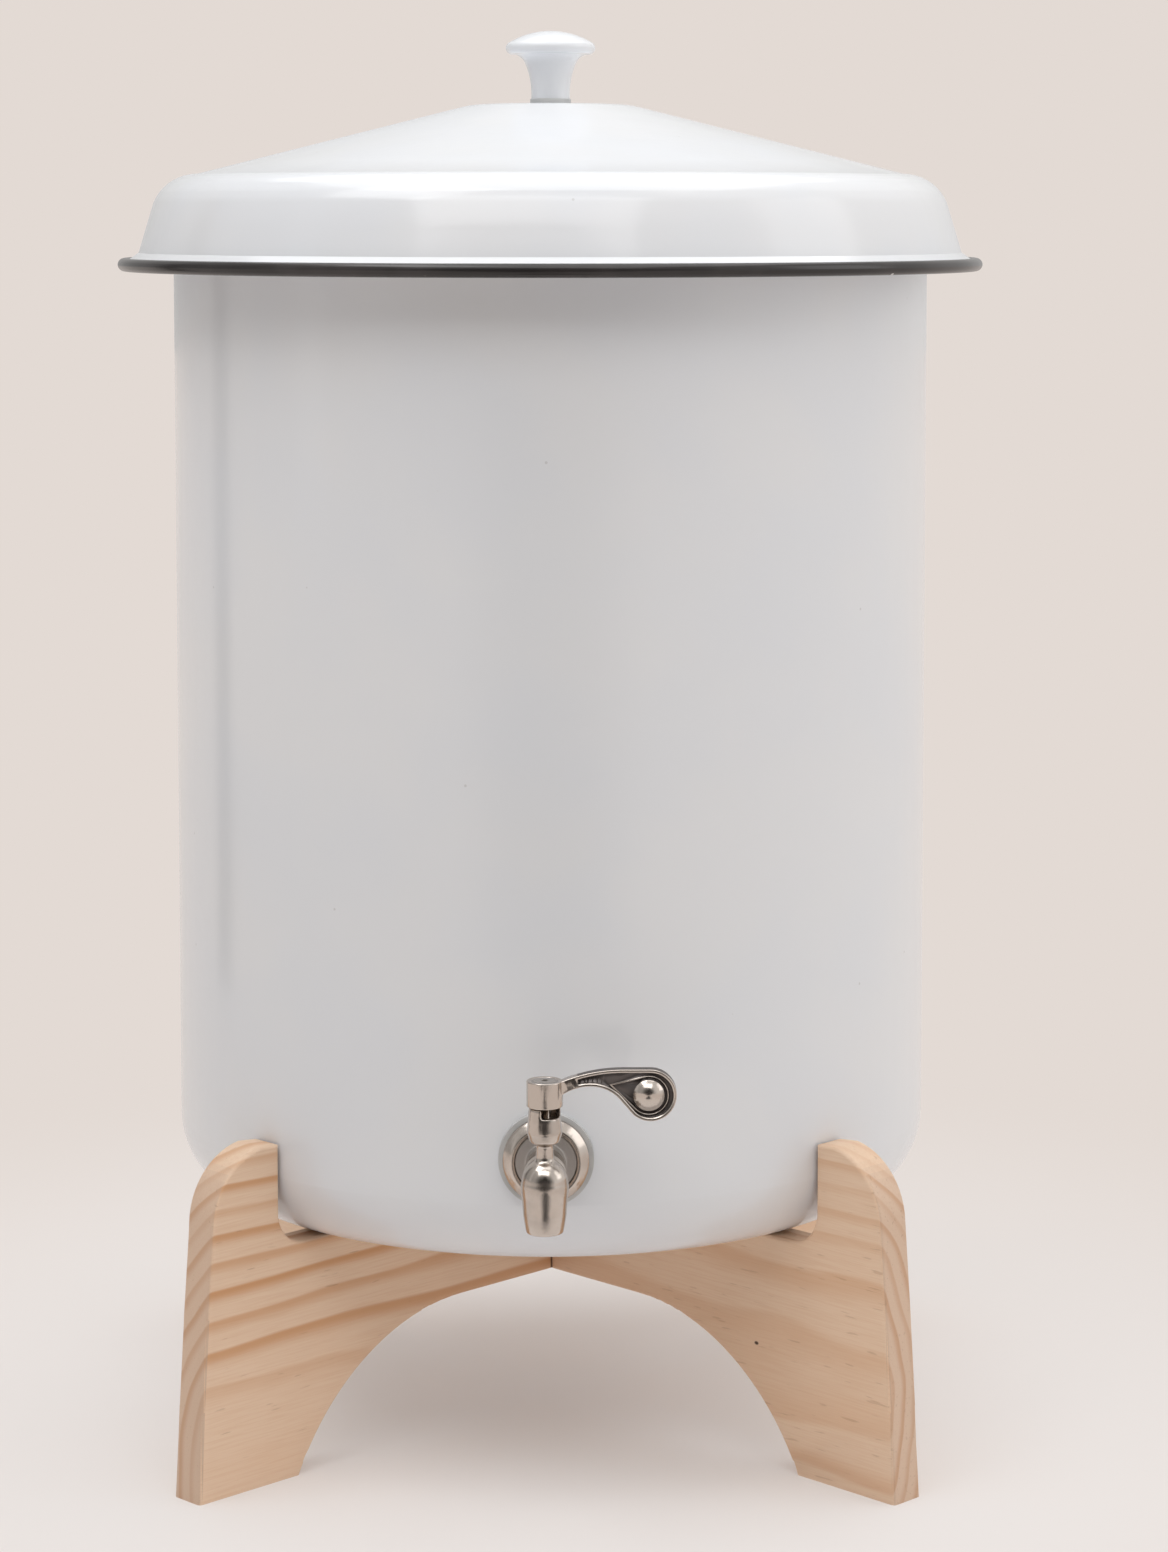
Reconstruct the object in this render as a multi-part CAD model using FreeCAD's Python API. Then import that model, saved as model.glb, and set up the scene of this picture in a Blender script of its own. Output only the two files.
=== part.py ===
"""Gravity water filter: an enamelled tank on two crossed boards, with a clay filter pot, a lid and a tap.

Millimetres, +Z up. The model is drawn about the tank's own axis and then moved back, so that the origin is the
middle of the footprint on the floor. The front, with the tap, faces -Y.
"""

import FreeCAD
import Part
import math
import os

from FreeCAD import Vector

# Fits
running_fit = 0.05
slip_fit = 0.1
lap_fit = 0.1
lift_gap = 1.0
rest_gap = 0.3

# Crossed boards
board_thickness = 16.0
foot_spread = 43.5
foot_width = 52.5
foot_edge_bow = 0.4
arch_height = 56.5
arch_flat = 60.0
seat_height = 96.3
horn_height = 43.0
horn_width = 34.4
horn_flat = 9.0
horn_flat_fall = 0.8
shoulder_drop = 28.3
shoulder_fullness = 0.68
horn_corner = 14.0
board_edge_round = 1.5

# Tank
tank_radius = 160.0
tank_height = 411.7
tank_wall = 1.6
tank_corner = 32.0
bead_width = 5.5
bead_height = 6.0

# Lid
lid_wall = 1.4
lid_top_radius = 30.0
lid_cone_start = 38.0
lid_cone_slope = 0.2527
lid_height = 67.5
lid_overhang = 17.0
lid_dome_drop = 1.1
lid_overreach = 20.65
lid_rim_thickness = 5.5
lid_flange_width = 6.05
lid_skirt_lean = 6.4
lid_shoulder_width = 18.2
lid_shoulder_fullness = 0.70
lid_skirt_height = 21.0
lid_flange_lift = 5.0

# Knob and its fixing
knob_height = 28.7
knob_radius = 19.0
knob_neck_radius = 8.2
knob_waist_height = 9.0
knob_waist_flare = 0.7
knob_flare_height = 15.0
knob_flare = 2.6
knob_hollow_height = 17.8
knob_hollow_flare = 4.9
knob_lip_height = 18.9
knob_lip_inset = 1.8
knob_widest_height = 21.2
knob_crown_rise = 4.8
knob_crown_inset = 1.6
knob_washer_radius = 8.7
knob_washer_thickness = 2.5
knob_screw_radius = 2.5
knob_screw_depth = 16.0
knob_head_radius = 4.75
knob_head_height = 3.2
knob_inner_washer_radius = 8.0
knob_inner_washer_thickness = 1.0

# Clay pot and its seat ring
pot_depth = 240.0
pot_wall = 15.0
pot_floor = 18.0
pot_brim_inset = 5.0
pot_flange_width = 6.0
pot_taper = 21.0
pot_lid_gap = 0.5
pot_edge_round = 4.0
pot_base_round = 14.0
collar_thickness = 3.0
collar_overhang = 0.5
collar_lip_depth = 9.0
collar_lip_wall = 2.2

# Tap casting
tap_height = 47.3
tap_reach = 35.0
shank_radius = 8.0
tap_bore_radius = 4.0
shank_end_length = 2.7
barrel_radius = 7.5
dome_radius = 8.95
shoulder_disc_radius = 12.2
shoulder_disc_thickness = 1.6
rosette_radius = 17.0
rosette_thickness = 5.0
rosette_bevel = 3.2
rosette_recess = 2.2
outer_gasket_radius = 18.75
outer_gasket_thickness = 3.0
inner_gasket_radius = 13.5
inner_gasket_thickness = 3.2
washer_radius = 13.0
washer_thickness = 1.5
nut_across_flats = 22.0
nut_thickness = 6.0

# Valve
plug_radius = 5.5
plug_height = 10.4
plug_drop = 5.6
port_radius = 3.2
stem_radius = 2.4
neck_radius = 3.7
housing_radius = 6.1
housing_bore_radius = 4.6
housing_bottom = 15.0
housing_top = 28.8
housing_floor = 1.9
housing_round = 1.6
seal_thickness = 0.8
seal_inner_radius = 3.6
seal_outer_radius = 5.4
oring_section_radius = 1.05
oring_count = 2
gland_height = 3.7
drive_flat = 3.8
drive_height = 6.0

# Quarter-turn stop between the lever and the housing
stop_depth = 3.5
stop_half_angle = 12.0
stop_play_angle = 1.0
lever_turn_angle = 90.0
stop_floor_gap = 0.4

# Spout
spout_outlet_radius = 7.2
spout_bore_radius = 4.75
spout_length = 20.0
spout_edge_round = 0.6

# Lever
hub_radius = 7.0
hub_height = 10.1
hub_gap = 0.4
hub_edge_round = 0.5
lever_thickness = 5.0
lever_rim = 1.2
lever_recess = 1.0
lever_edge_round = 0.4
paddle_radius = 10.0
paddle_reach = 40.4
paddle_drop = 5.0
paddle_lift = 0.4
paddle_disc_radius = 5.9
paddle_disc_offset = 0.6
arm_root_reach = 3.0
arm_root_drop = 1.6
arm_root_depth = 8.6
arm_back_reach = 17.5
arm_back_rise = 3.3
arm_shoulder_reach = 31.0
arm_neck_reach = 29.4
arm_neck_drop = 7.8
arm_belly_reach = 24.9
arm_belly_drop = 3.9
arm_waist_reach = 17.5
arm_waist_drop = 1.95
arm_throat_reach = 11.2
arm_throat_drop = 3.1
paddle_leave_angle = 230.0
teardrop_radius = 7.6
teardrop_tail_reach = 24.6
teardrop_tail_drop = 1.2
teardrop_width = 0.5
teardrop_height = 0.6
recess_start = 12.5
lever_screw_head_radius = 4.65
lever_screw_head_height = 2.4
lever_screw_radius = 1.25
lever_screw_depth = 8.0
lever_screw_socket = 2.5
lever_screw_socket_depth = 1.4

# Levels and places worked out from the sizes above
horn_inner_reach = tank_radius + lift_gap
foot_outer_reach = tank_radius + foot_spread
foot_inner_reach = foot_outer_reach - foot_width
horn_top_reach = horn_inner_reach + horn_flat
shoulder_reach = horn_inner_reach + horn_width
pot_flange_radius = tank_radius - pot_brim_inset
pot_neck_radius = pot_flange_radius - pot_flange_width
pot_base_radius = pot_neck_radius - pot_taper
collar_reach = tank_radius + bead_width + collar_overhang
lid_rim_reach = tank_radius + lid_overreach
lid_skirt_foot = lid_rim_reach - lid_flange_width
lid_skirt_top = lid_skirt_foot - lid_skirt_lean
lid_cone_end = lid_skirt_top - lid_shoulder_width
lap_level = (arch_height + seat_height) / 2
tank_top = seat_height + tank_height
tap_level = seat_height + tap_height
stem_y = -(tank_radius + tap_reach)
rim_level = tank_top - lid_overhang
lid_top = rim_level + lid_height
pot_flange_bottom = tank_top + collar_thickness
lid_rim_radius = lid_rim_thickness / 2
front_reach = -stem_y + dome_radius
back_reach = lid_rim_reach + lid_rim_radius
axis_shift = (front_reach - back_reach) / 2

axis_z = Vector(0, 0, 1)
axis_y = Vector(0, 1, 0)
origin = Vector(0, 0, 0)


def flat(point):
    """A point of a side outline, given as (reach, height)."""
    return Vector(point[0], 0, point[1])


def edges_along(start, steps):
    """Edges in the XZ plane. A step is an end point, or the middle and end points of an arc."""
    edges = []
    last = start
    for step in steps:
        if isinstance(step[0], tuple):
            middle, end = step
            edges.append(Part.Arc(flat(last), flat(middle), flat(end)).toShape())
        else:
            end = step
            edges.append(Part.makeLine(flat(last), flat(end)))
        last = end
    return edges


def closed_face(start, steps):
    """A face in the XZ plane, closed by a line back to its start."""
    end = steps[-1][1] if isinstance(steps[-1][0], tuple) else steps[-1]
    edges = edges_along(start, steps)
    if math.dist(start, end) > 1e-6:
        edges.append(Part.makeLine(flat(end), flat(start)))
    return Part.Face(Part.Wire(edges))


def turned(start, steps):
    """A solid of revolution about the Z axis from a closed side outline."""
    return closed_face(start, steps).revolve(origin, axis_z, 360)


def sheet_turned(start, steps, wall):
    """A pressed sheet of even thickness, turned about the Z axis from its outer outline."""
    outline = Part.Wire(edges_along(start, steps))
    section = outline.makeOffset2D(wall, 0, True, True)
    return section.revolve(origin, axis_z, 360)


def post(radius, bottom, top, y=0.0):
    """An upright cylinder on the middle plane."""
    return Part.makeCylinder(radius, top - bottom, Vector(0, y, bottom), axis_z)


def ring(inner, outer, bottom, top, y=0.0):
    """An upright ring on the middle plane."""
    return post(outer, bottom, top, y).cut(post(inner, bottom, top, y))


def bar(radius, back, front):
    """A cylinder along the tap's bore. Back and front are distances from the tank's axis."""
    return Part.makeCylinder(radius, front - back, Vector(0, -front, tap_level), axis_y)


def bar_ring(inner, outer, back, front):
    """A ring along the tap's bore."""
    return bar(outer, back, front).cut(bar(inner, back, front))


def wedge(radius, bottom, top, from_angle, to_angle, y=0.0):
    """A pie slice about an upright axis between two angles in degrees."""
    slice_shape = Part.makeCylinder(radius, top - bottom, Vector(0, y, bottom), axis_z, to_angle - from_angle)
    slice_shape.rotate(Vector(0, y, 0), axis_z, from_angle)
    return slice_shape


def lid_cone_level(reach):
    """The height of the lid's outer cone at a reach."""
    return lid_top - lid_dome_drop - (reach - lid_cone_start) * lid_cone_slope


# Crossed boards

def board_blank():
    """One board across the whole foot: horns outside the tank, a seat under it and an arch below."""
    arch_span = foot_inner_reach - arch_flat
    arch_radius = (arch_span**2 + arch_height**2) / (2 * arch_height)
    arch_angle = math.atan2(arch_span, arch_radius - arch_height) / 2
    arch_middle = (
        arch_flat + arch_radius * math.sin(arch_angle),
        arch_height - arch_radius * (1 - math.cos(arch_angle)),
    )
    horn_top = seat_height + horn_height
    shoulder_level = horn_top - shoulder_drop
    shoulder_middle = (
        horn_top_reach + (shoulder_reach - horn_top_reach) * shoulder_fullness,
        shoulder_level + shoulder_drop * shoulder_fullness,
    )
    waist = (
        (foot_outer_reach + shoulder_reach) / 2 + foot_edge_bow,
        shoulder_level / 2,
    )
    corner_centre = (horn_inner_reach - horn_corner, seat_height + horn_corner)
    corner_middle = (
        corner_centre[0] + horn_corner * math.sqrt(0.5),
        corner_centre[1] - horn_corner * math.sqrt(0.5),
    )
    half = edges_along(
        (0, arch_height),
        [
            (arch_flat, arch_height),
            (arch_middle, (foot_inner_reach, 0)),
            (foot_outer_reach, 0),
            (waist, (shoulder_reach, shoulder_level)),
            (shoulder_middle, (horn_top_reach, horn_top)),
            (horn_inner_reach, horn_top - horn_flat_fall),
            (horn_inner_reach, corner_centre[1]),
            (corner_middle, (corner_centre[0], seat_height)),
            (0, seat_height),
        ],
    )
    other_half = [edge.mirror(origin, Vector(1, 0, 0)) for edge in half]
    outline = Part.Wire(Part.__sortEdges__(half + other_half))
    blank = Part.Face(outline).extrude(Vector(0, board_thickness, 0))
    blank.translate(Vector(0, -board_thickness / 2, 0))
    rims = [edge for edge in blank.Edges if is_board_rim(edge)]
    return blank.makeFillet(board_edge_round, rims)


def is_board_rim(edge):
    """True for an edge round one of the board's two wide faces, apart from its seat and arch crown."""
    box = edge.BoundBox
    on_wide_face = box.YLength < 1e-6
    across_middle = box.XMin < 1 and box.XMax > -1
    on_seat = abs(box.ZMin - seat_height) < 1e-6 and box.ZLength < 1e-6
    on_floor = box.ZMax < 1e-6
    return on_wide_face and not across_middle and not on_seat and not on_floor


def lap_slot(bottom, top):
    """The half-lap slot that takes the other board."""
    width = board_thickness + 2 * lap_fit
    return Part.makeBox(width, width, top - bottom, Vector(-width / 2, -width / 2, bottom))


def base_board(slot_bottom, slot_top, heading):
    """One board with its half-lap, turned to its heading."""
    board = board_blank().cut(lap_slot(slot_bottom, slot_top))
    board.rotate(origin, axis_z, heading)
    return board


# Tank

def tank_shell():
    """The enamelled tank, open at the top, with a hole for the tap."""
    corner_start = tank_radius - tank_corner
    corner_middle = (
        corner_start + tank_corner * math.sqrt(0.5),
        seat_height + tank_corner * (1 - math.sqrt(0.5)),
    )
    shell = sheet_turned(
        (0, seat_height),
        [
            (corner_start, seat_height),
            (corner_middle, (tank_radius, seat_height + tank_corner)),
            (tank_radius, tank_top),
        ],
        tank_wall,
    )
    return shell.cut(bar(shank_radius + rest_gap, 0, tank_radius + tank_wall))


def tank_rim_bead():
    """The rolled edge outside the tank's top."""
    inner = tank_radius
    outer = tank_radius + bead_width
    low = tank_top - bead_height
    return turned(
        (inner, low),
        [
            (inner + bead_width / 2, low),
            ((outer, low + bead_height / 2), (inner + bead_width / 2, tank_top)),
            (inner, tank_top),
        ],
    )


# Clay pot and its seat ring

def pot_top_level():
    """The pot's brim just under the lid's cone."""
    sheet_height = lid_wall * math.sqrt(1 + lid_cone_slope**2)
    return lid_cone_level(lid_cone_end) - sheet_height - pot_lid_gap


def filter_pot():
    """The fired clay pot with its hanging flange."""
    top = pot_top_level()
    bottom = top - pot_depth
    corner = pot_edge_round
    bend = corner * (1 - math.sqrt(0.5))
    base_bend = pot_base_round * (1 - math.sqrt(0.5))
    base_inner = pot_base_radius - pot_wall
    return turned(
        (0, bottom),
        [
            (pot_base_radius - pot_base_round, bottom),
            (
                (pot_base_radius - base_bend, bottom + base_bend),
                (pot_base_radius, bottom + pot_base_round),
            ),
            (pot_neck_radius, pot_flange_bottom),
            (pot_flange_radius, pot_flange_bottom),
            (pot_flange_radius, top - corner),
            ((pot_flange_radius - bend, top - bend), (pot_flange_radius - corner, top)),
            (pot_neck_radius - pot_wall, top),
            (base_inner, bottom + pot_floor + pot_base_round),
            (
                (base_inner - base_bend, bottom + pot_floor + base_bend),
                (base_inner - pot_base_round, bottom + pot_floor),
            ),
            (0, bottom + pot_floor),
        ],
    )


def pot_collar():
    """The seat ring on the tank's rim, with a lip inside the wall that centres it."""
    lip_outer = tank_radius - tank_wall - rest_gap
    lip_inner = lip_outer - collar_lip_wall
    inner = pot_neck_radius + rest_gap
    return turned(
        (inner, tank_top),
        [
            (lip_inner, tank_top),
            (lip_inner, tank_top - collar_lip_depth),
            (lip_outer, tank_top - collar_lip_depth),
            (lip_outer, tank_top),
            (collar_reach, tank_top),
            (collar_reach, pot_flange_bottom),
            (inner, pot_flange_bottom),
        ],
    )


# Lid

def lid_sheet():
    """The pressed lid: flat top, cone, shoulder, skirt and a small flange into the rolled rim."""
    cone_end = (lid_cone_end, lid_cone_level(lid_cone_end))
    skirt_top = (lid_skirt_top, rim_level + lid_skirt_height + lid_flange_lift)
    skirt_foot = (lid_skirt_foot, rim_level + lid_flange_lift)
    shoulder_middle = (
        lid_cone_end + lid_shoulder_width * lid_shoulder_fullness,
        skirt_top[1] + (cone_end[1] - skirt_top[1]) * 0.88 * lid_shoulder_fullness,
    )
    dome_middle = (
        (lid_top_radius + lid_cone_start) / 2,
        lid_top - lid_dome_drop * 0.28,
    )
    return sheet_turned(
        (0, lid_top),
        [
            (lid_top_radius, lid_top),
            (dome_middle, (lid_cone_start, lid_top - lid_dome_drop)),
            cone_end,
            (shoulder_middle, skirt_top),
            skirt_foot,
            (lid_rim_reach, rim_level + lid_wall / 2),
        ],
        -lid_wall,
    )


def lid_rim():
    """The rolled rim, round in section, closed over the sheet's flange."""
    return Part.makeTorus(lid_rim_reach, lid_rim_radius, Vector(0, 0, rim_level), axis_z)


def lid_knob():
    """The mushroom knob, with a blind hole for its screw."""
    foot = lid_top + knob_washer_thickness
    top = foot + knob_height
    neck = knob_neck_radius
    cap = knob_radius
    crown_reach = cap - knob_crown_inset
    crown_radius = (crown_reach**2 + knob_crown_rise**2) / (2 * knob_crown_rise)
    crown_middle = (
        crown_reach / 2,
        top - crown_radius + math.sqrt(crown_radius**2 - crown_reach**2 / 4),
    )
    knob = turned(
        (0, foot),
        [
            (neck, foot),
            (
                (neck + knob_waist_flare, foot + knob_waist_height),
                (neck + knob_flare, foot + knob_flare_height),
            ),
            (
                (neck + knob_hollow_flare, foot + knob_hollow_height),
                (cap - knob_lip_inset, foot + knob_lip_height),
            ),
            ((cap, foot + knob_widest_height), (crown_reach, top - knob_crown_rise)),
            (crown_middle, (0, top)),
        ],
    )
    return knob.cut(post(knob_screw_radius, foot, foot + knob_screw_depth + 1.0))


def knob_seat_washer():
    """The pale washer between the knob and the lid."""
    return ring(knob_screw_radius + slip_fit, knob_washer_radius, lid_top, lid_top + knob_washer_thickness)


def knob_inner_washer():
    """The washer under the lid's top."""
    top = lid_top - lid_wall
    return ring(
        knob_screw_radius + slip_fit,
        knob_inner_washer_radius,
        top - knob_inner_washer_thickness,
        top,
    )


def knob_screw():
    """The screw up through the lid into the knob."""
    head_top = lid_top - lid_wall - knob_inner_washer_thickness
    head_bottom = head_top - knob_head_height
    tip = lid_top + knob_washer_thickness + knob_screw_depth
    head = post(knob_head_radius, head_bottom, head_top)
    slot = Part.makeBox(
        2 * knob_head_radius,
        1.2,
        1.6,
        Vector(-knob_head_radius, -0.6, head_bottom),
    )
    return head.cut(slot).fuse(post(knob_screw_radius - running_fit, head_top, tip))


# Tap

def tank_curve(radius):
    """An upright cylinder as tall as the tap, to shape what seats on the tank's wall."""
    reach = 2 * outer_gasket_radius
    return post(radius, tap_level - reach, tap_level + reach)


def rosette_back():
    """How far the rosette's back lies from the tank's axis."""
    return tank_radius + outer_gasket_thickness


def shoulder_back():
    """How far the casting's shoulder disc lies from the tank's axis."""
    return rosette_back() + rosette_thickness - rosette_recess


def tap_outer_gasket():
    """The silicone ring between the rosette and the tank, hollowed to the tank's curve."""
    blank = bar_ring(shank_radius + running_fit, outer_gasket_radius, tank_radius - 10, rosette_back())
    return blank.cut(tank_curve(tank_radius))


def inner_gasket_front():
    """How far the flat side of the inner gasket lies from the tank's axis."""
    return tank_radius - tank_wall - inner_gasket_thickness


def tap_inner_gasket():
    """The silicone ring inside the tank, crowned to the wall's curve."""
    blank = bar_ring(shank_radius + running_fit, inner_gasket_radius, inner_gasket_front(), tank_radius + 1)
    return blank.common(tank_curve(tank_radius - tank_wall))


def tap_washer():
    """The steel washer under the back nut."""
    front = inner_gasket_front()
    return bar_ring(shank_radius + slip_fit, washer_radius, front - washer_thickness, front)


def tap_back_nut():
    """The hexagon nut that clamps the tap."""
    front = inner_gasket_front() - washer_thickness
    corner_radius = nut_across_flats / math.sqrt(3)
    corners = []
    for corner in range(7):
        angle = math.radians(60 * corner)
        corners.append(
            Vector(corner_radius * math.cos(angle), -front, tap_level + corner_radius * math.sin(angle))
        )
    hexagon = Part.Face(Part.makePolygon(corners)).extrude(Vector(0, nut_thickness, 0))
    return hexagon.cut(bar(shank_radius + running_fit, front - nut_thickness, front))


def tap_rosette():
    """The bevelled ring behind the tap, with a recess for the casting's shoulder."""
    back = rosette_back()
    front = back + rosette_thickness
    disc = bar(rosette_radius, back, front)
    front_edges = [edge for edge in disc.Edges if abs(edge.BoundBox.YMin + front) < 1e-6 and edge.Closed]
    disc = disc.makeChamfer(rosette_bevel, front_edges[:1])
    hole = bar(shank_radius + slip_fit, back, front)
    recess = bar(shoulder_disc_radius + slip_fit, front - rosette_recess, front)
    return disc.cut(hole).cut(recess)


def stop_notch():
    """The notch in the housing's top that the lever's lug runs in."""
    top = tap_level + housing_top
    from_angle = -lever_turn_angle - stop_half_angle - stop_play_angle
    to_angle = stop_half_angle + stop_play_angle
    return wedge(housing_radius + 1, top - stop_depth, top + 1, from_angle, to_angle, stem_y)


def tap_body():
    """The casting: shank, shoulder, barrel, elbow dome, narrow neck and valve housing."""
    seam = tap_level - plug_drop - seal_thickness
    bottom = tap_level + housing_bottom
    top = tap_level + housing_top
    plug_roof = tap_level - plug_drop + plug_height + rest_gap
    shank_back = inner_gasket_front() - washer_thickness - nut_thickness - shank_end_length
    stem_reach = -stem_y
    shank = bar(shank_radius, shank_back, shoulder_back())
    disc = bar(shoulder_disc_radius, shoulder_back(), shoulder_back() + shoulder_disc_thickness)
    barrel = bar(barrel_radius, shoulder_back(), stem_reach)
    dome = Part.makeSphere(dome_radius, Vector(0, stem_y, tap_level))
    skirt = post(dome_radius, seam, tap_level, stem_y)
    lower_half = post(dome_radius + 1, tap_level - 2 * dome_radius, tap_level, stem_y)
    neck = post(neck_radius, tap_level, bottom + housing_round, stem_y)
    housing = post(housing_radius, bottom, top, stem_y)
    low_edges = [edge for edge in housing.Edges if edge.Closed and abs(edge.BoundBox.ZMax - bottom) < 1e-6]
    housing = housing.makeFillet(housing_round, low_edges[:1])
    body = shank.fuse([disc, barrel, dome.cut(lower_half), skirt, neck, housing])
    for bore in (
        bar(tap_bore_radius, shank_back, stem_reach),
        post(plug_radius + running_fit, seam, plug_roof, stem_y),
        post(stem_radius + running_fit, plug_roof, top, stem_y),
        post(housing_bore_radius, bottom + housing_floor, top, stem_y),
        stop_notch(),
        post(dome_radius + running_fit, seam - barrel_radius, seam, stem_y),
    ):
        body = body.cut(bore)
    return body.removeSplitter()


def tap_spout():
    """The tapered spout under the elbow."""
    seam = tap_level - plug_drop - seal_thickness
    outlet = tap_level - spout_length
    lip = spout_edge_round
    spout = turned(
        (spout_bore_radius, seam),
        [
            (dome_radius, seam),
            (
                (
                    (dome_radius + spout_outlet_radius) / 2 + 0.2,
                    (seam + outlet) / 2,
                ),
                (spout_outlet_radius, outlet + lip),
            ),
            (
                (spout_outlet_radius - lip * 0.3, outlet + lip * 0.3),
                (spout_outlet_radius - lip, outlet),
            ),
            (spout_bore_radius, outlet),
        ],
    )
    spout.translate(Vector(0, stem_y, 0))
    return spout


# Valve

def valve_seat_seal():
    """The seal between the plug and the spout."""
    top = tap_level - plug_drop
    return ring(seal_inner_radius, seal_outer_radius, top - seal_thickness, top, stem_y)


def drive_square(clearance, bottom, top):
    """The squared end of the stem, or the hole for it."""
    flat_size = drive_flat + 2 * clearance
    square = Part.makeBox(
        flat_size,
        flat_size,
        top - bottom,
        Vector(-flat_size / 2, stem_y - flat_size / 2, bottom),
    )
    return square.common(post(stem_radius + clearance, bottom, top, stem_y))


def valve_plug():
    """The plug and its stem. Its side port faces away from the tank's bore while the tap is shut."""
    bottom = tap_level - plug_drop
    plug_top = bottom + plug_height
    stem_top = tap_level + housing_top + hub_gap
    drive_top = stem_top + drive_height
    plug = post(plug_radius, bottom, plug_top, stem_y).fuse(post(stem_radius, plug_top, stem_top, stem_y))
    plug = plug.fuse(drive_square(0, stem_top, drive_top))
    down_port = post(port_radius, bottom, tap_level, stem_y)
    corner = Part.makeSphere(port_radius, Vector(0, stem_y, tap_level))
    side_port = Part.makeCylinder(port_radius, plug_radius + 1, Vector(0, stem_y, tap_level), Vector(-1, 0, 0))
    screw_hole = post(lever_screw_radius + running_fit, drive_top - lever_screw_depth - 1, drive_top, stem_y)
    return plug.cut(down_port).cut(corner).cut(side_port).cut(screw_hole).removeSplitter()


def stem_orings():
    """The O-rings round the stem, one on the other."""
    rings = []
    middle = (stem_radius + housing_bore_radius) / 2
    floor = tap_level + housing_bottom + housing_floor
    for turn in range(oring_count):
        level = floor + running_fit + oring_section_radius * (1 + 2.05 * turn)
        rings.append(Part.makeTorus(middle, oring_section_radius, Vector(0, stem_y, level), axis_z))
    return Part.makeCompound(rings)


def gland_nut():
    """The threaded ring that holds the O-rings down."""
    floor = tap_level + housing_bottom + housing_floor
    bottom = floor + 2 * running_fit + oring_section_radius * (2 + 2.05 * (oring_count - 1))
    return ring(stem_radius + running_fit, housing_bore_radius - running_fit, bottom, bottom + gland_height, stem_y)


# Lever

def lever_hub_top():
    """The height of the hub's flat top."""
    return tap_level + housing_top + hub_gap + hub_height


def paddle_centre():
    """The middle of the round paddle, as (reach, height)."""
    return (paddle_reach, lever_hub_top() - paddle_drop - paddle_lift)


def lever_arm_face():
    """The lever's side outline, from inside the hub to the round paddle."""
    top = lever_hub_top()
    centre = paddle_centre()
    leave = math.radians(paddle_leave_angle)
    leave_point = (
        centre[0] + paddle_radius * math.cos(leave),
        centre[1] + paddle_radius * math.sin(leave),
    )
    paddle_top = centre[1] + paddle_radius
    return closed_face(
        (arm_root_reach, top - arm_root_drop),
        [
            ((arm_back_reach, top + arm_back_rise), (arm_shoulder_reach, paddle_top)),
            (centre[0], paddle_top),
            ((centre[0] + paddle_radius, centre[1]), leave_point),
            (arm_neck_reach, top - arm_neck_drop),
            ((arm_belly_reach, top - arm_belly_drop), (arm_waist_reach, top - arm_waist_drop)),
            ((arm_throat_reach, top - arm_throat_drop), (arm_root_reach, top - arm_root_depth)),
        ],
    )


def teardrop_face():
    """The outline round the paddle's disc, drawn out to a tail up the arm."""
    centre = (paddle_centre()[0] - paddle_disc_offset, paddle_centre()[1])
    tail = (teardrop_tail_reach, lever_hub_top() - teardrop_tail_drop)
    reach = math.dist(centre, tail)
    towards_tail = math.atan2(tail[1] - centre[1], tail[0] - centre[0])
    spread = math.acos(teardrop_radius / reach)

    def on_circle(angle):
        return (centre[0] + teardrop_radius * math.cos(angle), centre[1] + teardrop_radius * math.sin(angle))

    return closed_face(
        tail,
        [
            on_circle(towards_tail - spread),
            (on_circle(towards_tail + math.pi), on_circle(towards_tail + spread)),
        ],
    )


def paddle_disc_face():
    """The round boss in the middle of the paddle."""
    place = Vector(paddle_centre()[0] - paddle_disc_offset, 0, paddle_centre()[1])
    return Part.Face(Part.Wire(Part.makeCircle(paddle_disc_radius, place, axis_y)))


def pressed(face, near_y, far_y):
    """A face of the XZ plane drawn out between two places along Y."""
    solid = face.extrude(Vector(0, far_y - near_y, 0))
    solid.translate(Vector(0, near_y, 0))
    return solid


def lever_recess_tool(near_y, far_y, floor_y):
    """What is taken out of one side of the lever: the field inside its rim, round the boss and the teardrop ridge."""
    field = lever_arm_face().makeOffset2D(-lever_rim).cut(paddle_disc_face())
    tool = pressed(field, near_y, far_y)
    ridge_face = teardrop_face().cut(teardrop_face().makeOffset2D(-teardrop_width))
    ridge_top = floor_y + math.copysign(teardrop_height, (near_y + far_y) / 2 - floor_y)
    ridge = pressed(ridge_face, min(floor_y, ridge_top), max(floor_y, ridge_top))
    hub_block = Part.makeBox(
        recess_start,
        4 * lever_thickness,
        4 * hub_height,
        Vector(0, stem_y - 2 * lever_thickness, lever_hub_top() - 2 * hub_height),
    )
    return tool.cut(ridge).cut(hub_block)


def stop_lug():
    """The lug under the hub that meets the ends of the housing's notch."""
    top = tap_level + housing_top + hub_gap
    bottom = tap_level + housing_top - stop_depth + stop_floor_gap
    lug = wedge(housing_radius - running_fit, bottom, top, -stop_half_angle, stop_half_angle, stem_y)
    return lug.cut(post(housing_bore_radius + slip_fit, bottom, top, stem_y))


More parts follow.
